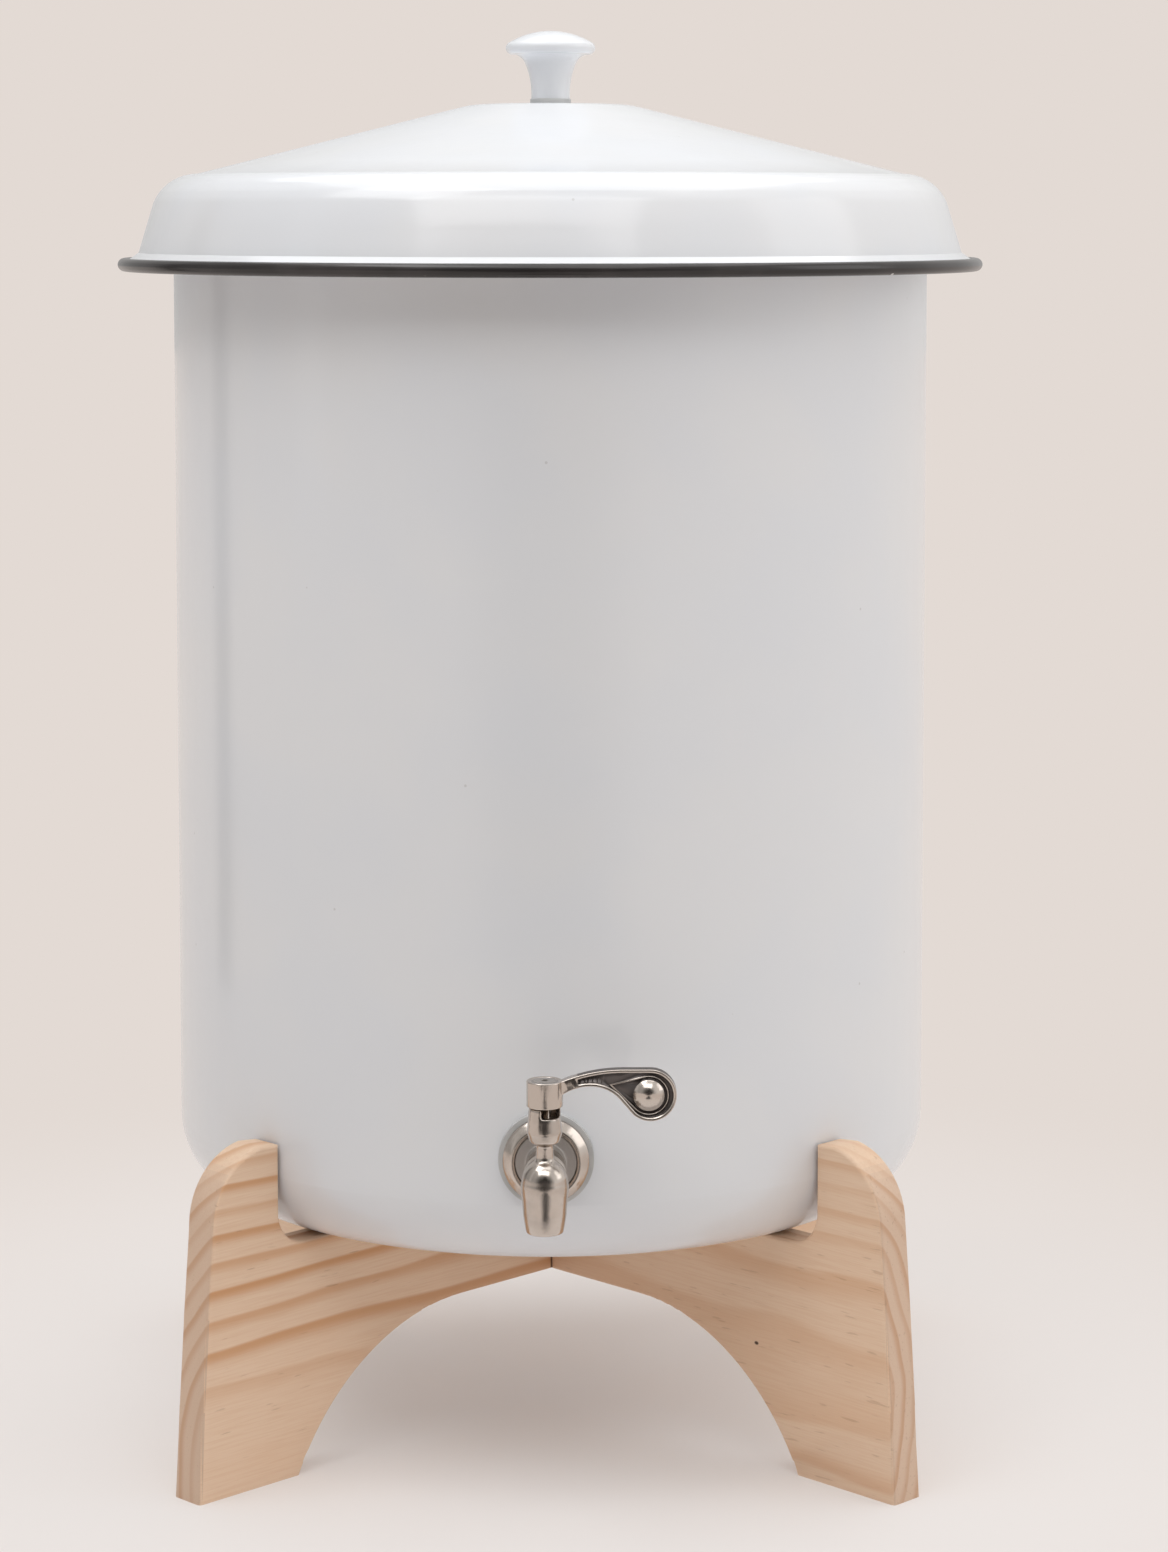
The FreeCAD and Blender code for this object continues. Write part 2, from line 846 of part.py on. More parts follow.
def tap_lever():
    """The lever: hub, arm and paddle, with its stop lug."""
    hub_bottom = tap_level + housing_top + hub_gap
    hub_top = lever_hub_top()
    hub = post(hub_radius, hub_bottom, hub_top, stem_y)
    hub = hub.makeFillet(hub_edge_round, [edge for edge in hub.Edges if edge.Closed])
    half = lever_thickness / 2
    arm = lever_arm_face().extrude(Vector(0, lever_thickness, 0))
    arm.translate(Vector(0, stem_y - half, 0))
    rims = [edge for edge in arm.Edges if edge.BoundBox.YLength < 1e-6 and edge.BoundBox.XMax > hub_radius]
    arm = arm.makeFillet(lever_edge_round, rims)
    front = stem_y - half
    back = stem_y + half
    arm = arm.cut(lever_recess_tool(front - 1, front + lever_recess, front + lever_recess))
    arm = arm.cut(lever_recess_tool(back - lever_recess, back + 1, back - lever_recess))
    lever = hub.fuse([arm, stop_lug()])
    drive_top = hub_bottom + drive_height
    lever = lever.cut(drive_square(running_fit, hub_bottom, drive_top))
    lever = lever.cut(post(lever_screw_radius + slip_fit, drive_top, hub_top, stem_y))
    head_room = post(
        lever_screw_head_radius + running_fit,
        hub_top - lever_screw_head_height,
        hub_top + 2,
        stem_y,
    )
    return lever.cut(head_room).removeSplitter()


def lever_screw():
    """The flush screw that holds the lever on its stem."""
    hub_top = lever_hub_top()
    head_bottom = hub_top - lever_screw_head_height
    tip = tap_level + housing_top + hub_gap + drive_height - lever_screw_depth
    screw = post(lever_screw_head_radius, head_bottom, hub_top, stem_y)
    screw = screw.fuse(post(lever_screw_radius, tip, head_bottom, stem_y))
    corners = []
    for corner in range(7):
        angle = math.radians(60 * corner)
        corners.append(
            Vector(
                lever_screw_socket / math.sqrt(3) * math.cos(angle),
                stem_y + lever_screw_socket / math.sqrt(3) * math.sin(angle),
                hub_top - lever_screw_socket_depth,
            )
        )
    socket = Part.Face(Part.makePolygon(corners)).extrude(Vector(0, 0, lever_screw_socket_depth + 1))
    return screw.cut(socket)


def build():
    """All the pieces by name, about the tank's axis."""
    sheet = lid_sheet()
    hole = post(knob_screw_radius + slip_fit, lid_top - 5, lid_top + 5)
    lid_shell = sheet.cut(hole)
    lid_rim_bead = lid_rim().cut(lid_shell)
    return {
        "base_board_a": base_board(lap_level, seat_height + 1, 45),
        "base_board_b": base_board(arch_height - 1, lap_level, -45),
        "tank_shell": tank_shell(),
        "tank_rim_bead": tank_rim_bead(),
        "filter_pot": filter_pot(),
        "pot_collar": pot_collar(),
        "lid_shell": lid_shell,
        "lid_rim_bead": lid_rim_bead,
        "lid_knob": lid_knob(),
        "knob_seat_washer": knob_seat_washer(),
        "knob_inner_washer": knob_inner_washer(),
        "knob_screw": knob_screw(),
        "tap_body": tap_body(),
        "tap_spout": tap_spout(),
        "tap_rosette": tap_rosette(),
        "tap_outer_gasket": tap_outer_gasket(),
        "tap_inner_gasket": tap_inner_gasket(),
        "tap_washer": tap_washer(),
        "tap_back_nut": tap_back_nut(),
        "valve_plug": valve_plug(),
        "valve_seat_seal": valve_seat_seal(),
        "stem_orings": stem_orings(),
        "gland_nut": gland_nut(),
        "tap_lever": tap_lever(),
        "lever_screw": lever_screw(),
    }


def main():
    os.makedirs("parts", exist_ok=True)
    for name, shape in build().items():
        shape.translate(Vector(0, axis_shift, 0))
        shape.exportStep("parts/" + name + ".step")
        box = shape.BoundBox
        print(
            name,
            "solids", len(shape.Solids),
            "valid", shape.isValid(),
            "volume", round(shape.Volume, 1),
            "z", round(box.ZMin, 2), round(box.ZMax, 2),
            "y", round(box.YMin, 2), round(box.YMax, 2),
        )


if __name__ == "__main__":
    main()
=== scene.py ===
"""Dresses the gravity water filter: enamelled tank and lid, pine stand, clay pot and a polished tap."""

import math

import bmesh
import bpy
from bpy.props import FloatProperty, FloatVectorProperty, IntProperty, PointerProperty
from mathutils import Matrix, Vector


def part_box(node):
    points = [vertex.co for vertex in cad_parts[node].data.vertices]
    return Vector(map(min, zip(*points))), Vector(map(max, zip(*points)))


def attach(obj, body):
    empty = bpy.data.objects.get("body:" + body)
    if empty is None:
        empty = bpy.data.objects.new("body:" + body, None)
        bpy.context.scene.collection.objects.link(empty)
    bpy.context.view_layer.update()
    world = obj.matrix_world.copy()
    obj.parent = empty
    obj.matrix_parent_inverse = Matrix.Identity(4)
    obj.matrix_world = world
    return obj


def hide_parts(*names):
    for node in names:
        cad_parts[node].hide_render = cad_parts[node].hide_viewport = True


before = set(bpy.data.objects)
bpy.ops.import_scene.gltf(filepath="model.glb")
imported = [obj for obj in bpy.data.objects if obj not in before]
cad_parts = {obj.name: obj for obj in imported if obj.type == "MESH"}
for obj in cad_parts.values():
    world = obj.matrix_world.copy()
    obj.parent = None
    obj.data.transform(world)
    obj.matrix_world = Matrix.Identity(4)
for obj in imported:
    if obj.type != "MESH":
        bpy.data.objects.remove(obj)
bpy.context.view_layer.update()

bl_info = {
    "name": "Gravity water filter",
    "version": (1, 0, 0),
    "blender": (4, 5, 0),
    "location": "View3D > Sidebar > Water filter",
    "description": "Finishes the tank, lid, stand, clay pot and tap of a gravity water filter",
    "category": "Object",
}

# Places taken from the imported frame
TANK_LOW, TANK_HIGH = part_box("tank_shell")
TANK_AXIS_Y = (TANK_LOW.y + TANK_HIGH.y) / 2
BOARD_HEADING = {"base_board_a": math.radians(45), "base_board_b": math.radians(-45)}
HUB_LOW, HUB_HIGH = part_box("lever_screw")
STEM_Y = (HUB_LOW.y + HUB_HIGH.y) / 2
NUT_LOW, NUT_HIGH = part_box("tap_back_nut")
BORE_Z = (NUT_LOW.z + NUT_HIGH.z) / 2
SPOUT_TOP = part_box("tap_spout")[1].z

# Fixed sizes, in metres, degrees and counts
WELD = 2e-6
SAME_PLACE = 1e-6
ON_AXIS = 1e-5
SHANK_RADIUS = 0.008
HOLE_LIMIT = 0.012
HOLE_MARGIN = 0.014
HOLE_STEPS = 64
FLOW_REACH = 0.006
TURN_STEPS = 256
CRISP_ANGLE = 35.0
FLOOR_RADIUS = 12.0
SENSOR_WIDTH = 36.0


def srgb(red, green, blue):
    """A colour given as screen values from 0 to 255, made linear."""
    def linear(value):
        value /= 255
        return value / 12.92 if value <= 0.04045 else ((value + 0.055) / 1.055) ** 2.4
    return (linear(red), linear(green), linear(blue))


# Node helpers

def place(tree, kind, **settings):
    """A node in a tree, with its properties set."""
    node = tree.nodes.new(kind)
    for name, value in settings.items():
        setattr(node, name, value)
    return node


def feed(tree, source, target):
    """A link between two sockets, or a plain value or colour put on the target."""
    if isinstance(source, bpy.types.NodeSocket):
        tree.links.new(source, target)
    elif target.type == "RGBA":
        target.default_value = (*source, 1.0)
    else:
        target.default_value = source


def maths(tree, operation, *values):
    """The result of one maths node."""
    node = place(tree, "ShaderNodeMath", operation=operation)
    for socket, value in zip(node.inputs, values):
        feed(tree, value, socket)
    return node.outputs[0]


def vector_maths(tree, operation, *values, output="Vector"):
    """The result of one vector maths node."""
    node = place(tree, "ShaderNodeVectorMath", operation=operation)
    for socket, value in zip(node.inputs, values):
        feed(tree, value, socket)
    return node.outputs[output]


def noise(tree, vector, scale, detail=3.0, roughness=0.5):
    """Fractal noise from 0 to 1 at a vector."""
    node = place(tree, "ShaderNodeTexNoise")
    for socket, given in (("Vector", vector), ("Scale", scale), ("Detail", detail), ("Roughness", roughness)):
        feed(tree, given, node.inputs[socket])
    return node.outputs["Fac"]


def between(tree, value, low, high, to_low=0.0, to_high=1.0, smooth=True):
    """A value moved from one range to another and held inside it."""
    node = place(tree, "ShaderNodeMapRange", interpolation_type="SMOOTHSTEP" if smooth else "LINEAR")
    sockets = ("Value", "From Min", "From Max", "To Min", "To Max")
    for socket, given in zip(sockets, (value, low, high, to_low, to_high)):
        feed(tree, given, node.inputs[socket])
    return node.outputs["Result"]


def mix_colour(tree, factor, first, second):
    """A blend of two colours."""
    node = place(tree, "ShaderNodeMix", data_type="RGBA", blend_type="MIX")
    for socket, given in (("Factor", factor), ("A", first), ("B", second)):
        feed(tree, given, node.inputs[socket])
    return node.outputs["Result"]


def object_place(tree):
    """The object coordinates."""
    return place(tree, "ShaderNodeTexCoord").outputs["Object"]


def split(tree, vector):
    """A vector's three parts, named X, Y and Z."""
    node = place(tree, "ShaderNodeSeparateXYZ")
    feed(tree, vector, node.inputs[0])
    return node.outputs


def new_group(name, inputs, outputs, vector_outputs=()):
    """A shader node group whose inputs are numbers, given with their defaults."""
    tree = bpy.data.node_groups.new(name, "ShaderNodeTree")
    for socket_name, default in inputs.items():
        socket = tree.interface.new_socket(socket_name, in_out="INPUT", socket_type="NodeSocketFloat")
        socket.default_value = default
    for names, kind in ((outputs, "NodeSocketFloat"), (vector_outputs, "NodeSocketVector")):
        for socket_name in names:
            tree.interface.new_socket(socket_name, in_out="OUTPUT", socket_type=kind)
    entry = tree.nodes.new("NodeGroupInput")
    result = tree.nodes.new("NodeGroupOutput")
    return tree, entry.outputs, result.inputs


def use_group(tree, name, **values):
    """A shader node group placed in a tree, with its inputs set by name."""
    node = tree.nodes.new("ShaderNodeGroup")
    node.node_tree = bpy.data.node_groups[name]
    for socket_name, value in values.items():
        feed(tree, value, node.inputs[socket_name.replace("_", " ")])
    return node.outputs


def new_material(name):
    """A material with its Principled shader."""
    material = bpy.data.materials.new(name)
    material.use_nodes = True
    tree = material.node_tree
    return material, tree, tree.nodes["Principled BSDF"]


def coat(tree, shader, base, rough, height, depth):
    """A shader's colour, its roughness, and its normal bent by a height of so many metres."""
    feed(tree, base, shader.inputs["Base Color"])
    feed(tree, rough, shader.inputs["Roughness"])
    bump = place(tree, "ShaderNodeBump")
    feed(tree, height, bump.inputs["Height"])
    feed(tree, depth, bump.inputs["Distance"])
    feed(tree, 1.0, bump.inputs["Strength"])
    feed(tree, bump.outputs["Normal"], shader.inputs["Normal"])


# Shared effects

def make_skin_group():
    """Gentle unevenness of a fired or moulded surface: a slow wave under a fine ripple."""
    tree, given, result = new_group(
        "Fired skin",
        {"Wave scale": 18.0, "Ripple scale": 260.0, "Ripple share": 0.15},
        ("Height", "Cloud"),
    )
    where = object_place(tree)
    wave = noise(tree, where, given["Wave scale"], 2.0)
    ripple = noise(tree, where, given["Ripple scale"], 2.0)
    feed(tree, maths(tree, "MULTIPLY_ADD", ripple, given["Ripple share"], wave), result["Height"])
    feed(tree, wave, result["Cloud"])


def make_speck_group():
    """Small scattered specks, such as chips, pores or grit."""
    tree, given, result = new_group("Specks", {"Scale": 400.0, "Size": 0.12, "Share": 0.2}, ("Mask",))
    cells = place(tree, "ShaderNodeTexVoronoi", feature="F1")
    feed(tree, object_place(tree), cells.inputs["Vector"])
    feed(tree, given["Scale"], cells.inputs["Scale"])
    edge = maths(tree, "MULTIPLY", given["Size"], 1.4)
    spot = between(tree, cells.outputs["Distance"], given["Size"], edge, 1.0, 0.0)
    pick = place(tree, "ShaderNodeSeparateColor")
    feed(tree, cells.outputs["Color"], pick.inputs["Color"])
    chosen = maths(tree, "LESS_THAN", pick.outputs["Red"], given["Share"])
    feed(tree, maths(tree, "MULTIPLY", spot, chosen), result["Mask"])


def make_grain_group():
    """Growth rings round a log's heart, with long fibres and short dashes, on a turned board."""
    tree, given, result = new_group(
        "Pine grain",
        {
            "Heading": 0.0,
            "Pith across": -0.097,
            "Pith height": 0.010,
            "Ring width": 0.0074,
            "Waver": 0.004,
            "Dash level": 0.7,
        },
        ("Ring", "Fibre", "Streak"),
        ("Board place",),
    )
    turn = place(tree, "ShaderNodeVectorRotate", rotation_type="Z_AXIS")
    centred = vector_maths(tree, "SUBTRACT", object_place(tree), (0.0, TANK_AXIS_Y, 0.0))
    feed(tree, centred, turn.inputs["Vector"])
    feed(tree, maths(tree, "MULTIPLY", given["Heading"], -1.0), turn.inputs["Angle"])
    board = turn.outputs["Vector"]

    def drawn_out(scales, *detail):
        """Noise on the board, stretched along it."""
        return noise(tree, vector_maths(tree, "MULTIPLY", board, scales), 1.0, *detail)

    axes = split(tree, board)
    across = maths(tree, "SUBTRACT", axes["Y"], given["Pith across"])
    up = maths(tree, "SUBTRACT", axes["Z"], given["Pith height"])
    squares = maths(tree, "ADD", maths(tree, "MULTIPLY", across, across), maths(tree, "MULTIPLY", up, up))
    span = maths(tree, "SQRT", squares)
    for scales, share in (((5.0, 16.0, 16.0), 3.0), ((18.0, 90.0, 90.0), 0.25)):
        sway = maths(tree, "SUBTRACT", drawn_out(scales, 2.0), 0.5)
        span = maths(tree, "MULTIPLY_ADD", sway, maths(tree, "MULTIPLY", given["Waver"], share), span)
    years = maths(tree, "DIVIDE", span, given["Ring width"])
    year = maths(tree, "FLOOR", years)
    part_of_year = maths(tree, "SUBTRACT", years, year)
    rise = between(tree, part_of_year, 0.38, 0.82)
    fall = between(tree, part_of_year, 0.86, 0.99, 1.0, 0.0)
    lot = place(tree, "ShaderNodeTexWhiteNoise", noise_dimensions="1D")
    feed(tree, year, lot.inputs["W"])
    strength = between(tree, lot.outputs["Value"], 0.0, 1.0, 0.45, 1.0, False)
    dash_top = maths(tree, "ADD", given["Dash level"], 0.07)
    dashes = drawn_out((70.0, 620.0, 620.0), 1.0)
    feed(tree, maths(tree, "MULTIPLY", maths(tree, "MULTIPLY", rise, fall), strength), result["Ring"])
    feed(tree, drawn_out((40.0, 1400.0, 1400.0), 3.0, 0.6), result["Fibre"])
    feed(tree, between(tree, dashes, given["Dash level"], dash_top), result["Streak"])
    feed(tree, board, result["Board place"])


def make_polish_group():
    """Fine marks of a polished casting: soft dents and hairline scratches."""
    tree, given, result = new_group(
        "Polish marks", {"Dent scale": 350.0, "Hair scale": 900.0}, ("Height", "Haze"),
    )
    where = object_place(tree)
    dents = noise(tree, where, given["Dent scale"], 3.0)
    stretched = vector_maths(tree, "MULTIPLY", where, (1.0, 1.0, 0.12))
    hairs = noise(tree, stretched, given["Hair scale"], 2.0, 0.7)
    haze = noise(tree, where, maths(tree, "MULTIPLY", given["Dent scale"], 0.3), 2.0)
    feed(tree, maths(tree, "MULTIPLY_ADD", hairs, 0.35, dents), result["Height"])
    feed(tree, haze, result["Haze"])


# Finishes

def white_enamel(enamel):
    """Glossy white vitreous enamel, faintly uneven, with rare pin specks."""
    material, tree, shader = new_material("white_enamel_coat")
    skin = use_group(tree, "Fired skin", Wave_scale=14.0, Ripple_scale=240.0, Ripple_share=0.04)
    specks = use_group(tree, "Specks", Scale=95.0, Size=0.045, Share=0.05)
    cool = tuple(value * tint for value, tint in zip(enamel.white, (0.975, 0.985, 1.0)))
    base = mix_colour(tree, between(tree, skin["Cloud"], 0.35, 0.65), enamel.white, cool)
    base = mix_colour(tree, maths(tree, "MULTIPLY", specks["Mask"], 0.25), base, srgb(150, 146, 140))
    gloss = enamel.gloss_roughness
    rough = between(tree, skin["Cloud"], 0.3, 0.7, gloss, gloss + 0.05)
    coat(tree, shader, base, rough, skin["Height"], enamel.enamel_wave)
    shader.inputs["Coat Weight"].default_value = 0.35
    shader.inputs["Coat Roughness"].default_value = 0.08
    return material


def black_enamel(enamel):
    """Glossy charcoal enamel on the rolled rim, with small chips that show white."""
    material, tree, shader = new_material("black_rim_enamel")
    skin = use_group(tree, "Fired skin", Wave_scale=40.0, Ripple_scale=600.0, Ripple_share=0.2)
    chips = use_group(tree, "Specks", Scale=110.0, Size=0.075, Share=0.035)["Mask"]
    grey = tuple(value * 1.9 for value in enamel.rim)
    base = mix_colour(tree, between(tree, skin["Cloud"], 0.4, 0.75), enamel.rim, grey)
    base = mix_colour(tree, chips, base, srgb(225, 224, 222))
    rough = maths(tree, "MULTIPLY_ADD", chips, 0.4, enamel.gloss_roughness + 0.06)
    coat(tree, shader, base, rough, maths(tree, "SUBTRACT", skin["Height"], chips), 0.00006)
    return material


def pine(name, heading, board, stand):
    """Sanded pine: warm late wood in each ring, long fibres and short resin dashes."""
    material, tree, shader = new_material(name)
    grain = use_group(
        tree, "Pine grain",
        Heading=heading,
        Pith_across=board.pith_across,
        Pith_height=board.pith_height,
        Ring_width=board.ring_width,
        Waver=board.waver,
        Dash_level=board.dash_level,
    )
    axes = split(tree, object_place(tree))
    face = place(tree, "ShaderNodeNewGeometry").outputs["True Normal"]
    along = (math.cos(heading), math.sin(heading), 0.0)
    facing = maths(tree, "ABSOLUTE", vector_maths(tree, "DOT_PRODUCT", face, along, output="Value"))
    cut_end = between(tree, facing, 0.5, 0.85)
    low, high = board.plain_below - 0.012, board.plain_below + 0.012
    above = between(tree, axes["Z"], low, high, 0.12 * board.contrast, board.contrast)
    banded = maths(tree, "MAXIMUM", above, maths(tree, "MULTIPLY", cut_end, 0.95))
    base = mix_colour(tree, maths(tree, "MULTIPLY", grain["Ring"], banded), stand.pine_light, stand.pine_late)
    fibre = between(tree, grain["Fibre"], 0.35, 0.75, 0.0, 0.22)
    base = mix_colour(tree, fibre, base, stand.pine_late)
    streak = maths(tree, "MULTIPLY", grain["Streak"], board.streaks)
    base = mix_colour(tree, streak, base, stand.pine_resin)
    off_knot = vector_maths(tree, "SUBTRACT", grain["Board place"], board.knot_place)
    oval = vector_maths(tree, "MULTIPLY", off_knot, (0.8, 0.1, 1.2))
    reach = vector_maths(tree, "LENGTH", oval, output="Value")
    knot = between(tree, reach, board.knot_radius * 0.6, board.knot_radius * 1.3, 1.0, 0.0)
    base = mix_colour(tree, knot, base, srgb(84, 60, 44))
    joint = between(tree, maths(tree, "ABSOLUTE", axes["X"]), 0.0002, 0.0006, 0.75, 0.0)
    front_half = maths(tree, "LESS_THAN", axes["Y"], TANK_AXIS_Y)
    base = mix_colour(tree, maths(tree, "MULTIPLY", joint, front_half), base, srgb(74, 52, 40))
    base = mix_colour(tree, maths(tree, "MULTIPLY", cut_end, board.end_shade), base, stand.pine_end)
    height = maths(tree, "MULTIPLY_ADD", grain["Ring"], 0.5, maths(tree, "MULTIPLY", grain["Fibre"], 0.5))
    height = maths(tree, "SUBTRACT", height, maths(tree, "MULTIPLY", grain["Streak"], 0.6))
    coat(tree, shader, base, between(tree, grain["Fibre"], 0.3, 0.8, 0.58, 0.46), height, 0.00012)
    return material


def polished_steel(name, tap, dull_back=False):
    """The tap's polished steel, warm, with soft dents; its back flat can be left dull."""
    material, tree, shader = new_material(name)
    marks = use_group(tree, "Polish marks", Dent_scale=420.0, Hair_scale=1500.0)
    dull = tuple(value * 0.86 for value in tap.steel)
    base = mix_colour(tree, between(tree, marks["Haze"], 0.35, 0.7), tap.steel, dull)
    rough = between(tree, marks["Haze"], 0.3, 0.7, tap.steel_roughness, tap.steel_roughness + 0.08)
    if dull_back:
        axes = split(tree, object_place(tree))
        blasted = between(tree, axes["Y"], STEM_Y + 0.019, STEM_Y + 0.0215)
        base = mix_colour(tree, maths(tree, "MULTIPLY", blasted, 0.8), base, srgb(186, 182, 179))
        rough = maths(tree, "MULTIPLY_ADD", blasted, 0.35, rough)
    shader.inputs["Metallic"].default_value = 1.0
    coat(tree, shader, base, rough, marks["Height"], 0.00004)
    return material


def lever_steel(tap):
    """The lever's steel: polished on its rim and boss, dark and dull in the pressed field between."""
    material, tree, shader = new_material("lever_steel_dark_field")
    marks = use_group(tree, "Polish marks", Dent_scale=420.0, Hair_scale=1500.0)
    axes = split(tree, object_place(tree))
    off_middle = maths(tree, "ABSOLUTE", maths(tree, "SUBTRACT", axes["Y"], STEM_Y))
    deep = between(tree, off_middle, 0.0017, 0.0021, 1.0, 0.0)
    past_hub = between(tree, axes["X"], 0.0115, 0.0130)
    above_tap = between(tree, axes["Z"], 0.1, 0.101)
    field = maths(tree, "MULTIPLY", maths(tree, "MULTIPLY", deep, past_hub), above_tap)
    base = mix_colour(tree, field, tap.steel, tap.field_steel)
    rough = between(tree, marks["Haze"], 0.3, 0.7, tap.steel_roughness, tap.steel_roughness + 0.08)
    shader.inputs["Metallic"].default_value = 1.0
    coat(tree, shader, base, maths(tree, "MULTIPLY_ADD", field, 0.2, rough), marks["Height"], 0.00005)
    return material


def satin_steel():
    """Turned or pressed steel of the nuts, washers and screws."""
    material, tree, shader = new_material("satin_steel")
    marks = use_group(tree, "Polish marks", Dent_scale=700.0, Hair_scale=2200.0)
    haze = between(tree, marks["Haze"], 0.3, 0.7)
    base = mix_colour(tree, haze, srgb(196, 190, 184), srgb(172, 166, 160))
    shader.inputs["Metallic"].default_value = 1.0
    coat(tree, shader, base, between(tree, marks["Haze"], 0.3, 0.7, 0.30, 0.42), marks["Height"], 0.00003)
    return material


def silicone():
    """Pale milky silicone of the gaskets and seals."""
    material, tree, shader = new_material("milky_silicone")
    skin = use_group(tree, "Fired skin", Wave_scale=120.0, Ripple_scale=1500.0, Ripple_share=0.3)
    cloud = between(tree, skin["Cloud"], 0.3, 0.7)
    base = mix_colour(tree, cloud, srgb(206, 206, 205), srgb(194, 195, 195))
    shader.inputs["Subsurface Weight"].default_value = 0.2
    shader.inputs["Subsurface Radius"].default_value = (0.003, 0.003, 0.003)
    coat(tree, shader, base, between(tree, skin["Cloud"], 0.3, 0.7, 0.42, 0.55), skin["Height"], 0.00005)
    return material


def seat_plastic():
    """Satin white food-grade plastic with a fine moulded grain."""
    material, tree, shader = new_material("seat_ring_plastic")
    skin = use_group(tree, "Fired skin", Wave_scale=60.0, Ripple_scale=2200.0, Ripple_share=0.5)
    cloud = between(tree, skin["Cloud"], 0.3, 0.7)
    base = mix_colour(tree, cloud, srgb(238, 237, 232), srgb(230, 229, 223))
    coat(tree, shader, base, between(tree, skin["Cloud"], 0.3, 0.7, 0.36, 0.46), skin["Height"], 0.00004)
    return material


def fired_clay(pot):
    """Unglazed clay: pressed rings, sandy grit and pale salt blooms."""
    material, tree, shader = new_material("fired_clay")
    skin = use_group(tree, "Fired skin", Wave_scale=9.0, Ripple_scale=420.0, Ripple_share=0.5)
    grit = use_group(tree, "Specks", Scale=420.0, Size=0.22, Share=0.3)["Mask"]
    pores = use_group(tree, "Specks", Scale=260.0, Size=0.14, Share=0.25)["Mask"]
    axes = split(tree, object_place(tree))
    band_place = place(tree, "ShaderNodeCombineXYZ")
    feed(tree, maths(tree, "MULTIPLY", axes["Z"], 130.0), band_place.inputs["Z"])
    band = noise(tree, band_place.outputs[0], 1.0, 2.0)
    base = mix_colour(tree, between(tree, skin["Cloud"], 0.3, 0.7), pot.clay, pot.clay_deep)
    base = mix_colour(tree, between(tree, band, 0.35, 0.7, 0.0, 0.35), base, pot.clay_deep)
    base = mix_colour(tree, between(tree, skin["Cloud"], 0.62, 0.8, 0.0, 0.4), base, pot.clay_pale)
    base = mix_colour(tree, maths(tree, "MULTIPLY", grit, 0.5), base, pot.clay_pale)
    base = mix_colour(tree, maths(tree, "MULTIPLY", pores, 0.6), base, srgb(92, 48, 32))
    height = maths(tree, "MULTIPLY_ADD", band, 1.2, skin["Height"])
    height = maths(tree, "SUBTRACT", height, maths(tree, "MULTIPLY", pores, 0.8))
    coat(tree, shader, base, between(tree, skin["Cloud"], 0.3, 0.7, 0.82, 0.95), height, 0.0004)
    return material


def finish_named(name, maker, *settings):
    """A finish by name, made once."""
    return bpy.data.materials.get(name) or maker(*settings)


# Shaping helpers

def add_object(name, data):
    """A new object in the scene."""
    holder = bpy.data.objects.new(name, data)
    bpy.context.scene.collection.objects.link(holder)
    return holder


def object_from(work, name):
    """A bmesh made into an object."""
    mesh = bpy.data.meshes.new(name)
    work.to_mesh(mesh)
    work.free()
    return add_object(name, mesh)


def welded(node):
    """A CAD node's mesh as a bmesh, with its loose triangles joined."""
    work = bmesh.new()
    work.from_mesh(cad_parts[node].data)
    bmesh.ops.remove_doubles(work, verts=work.verts, dist=WELD)
    return work


def merged_copy(node, name):
    """A CAD node copied, with its triangles joined and flat areas cleaned."""
    work = welded(node)
    bmesh.ops.dissolve_limit(work, angle_limit=math.radians(0.4), verts=work.verts, edges=work.edges)
    bmesh.ops.triangulate(work, faces=[face for face in work.faces if len(face.verts) > 4])
    return object_from(work, name)


def section_of(node, marks):
    """A round node's section in its own half plane, as chains of (reach, height) points."""
    work = welded(node)
    everything = work.verts[:] + work.edges[:] + work.faces[:]
    middle = (0.0, TANK_AXIS_Y, 0.0)
    cut = bmesh.ops.bisect_plane(
        work, geom=everything, dist=SAME_PLACE, plane_co=middle, plane_no=(0.0, 1.0, 0.0),
    )
    links = {}
    for edge in cut["geom_cut"]:
        if isinstance(edge, bmesh.types.BMEdge) and max(vert.co.x for vert in edge.verts) > ON_AXIS:
            first, second = edge.verts
            links.setdefault(first, []).append(second)
            links.setdefault(second, []).append(first)
    chains = []
    while links:
        start = next((vert for vert in links if len(links[vert]) == 1), next(iter(links)))
        chain, here = [start], start
        while links.get(here):
            onward = links[here].pop()
            links[onward].remove(here)
            chain.append(onward)
            here = onward
        for vert in chain:
            if not links.get(vert):
                links.pop(vert, None)
        chains.append(straightened([(max(vert.co.x, 0.0), vert.co.z) for vert in chain], marks))
    work.free()
    return chains


def straightened(points, marks):
    """A chain without the points that lie on straight runs, and with points added at marked heights."""
    kept = [points[0]]
    for here, onward in zip(points[1:], points[2:]):
        first, second = Vector(here) - Vector(kept[-1]), Vector(onward) - Vector(here)
        if min(first.length, second.length) < 1e-7:
            continue
        if abs(first.angle_signed(second)) > math.radians(0.05):
            kept.append(here)
    kept.append(points[-1])
    result = [kept[0]]
    for here, onward in zip(kept, kept[1:]):
        inside = [mark for mark in marks if min(here[1], onward[1]) < mark < max(here[1], onward[1])]
        for mark in sorted(inside, reverse=onward[1] < here[1]):
            share = (mark - here[1]) / (onward[1] - here[1])
            result.append((here[0] + share * (onward[0] - here[0]), mark))
        result.append(onward)
    return result


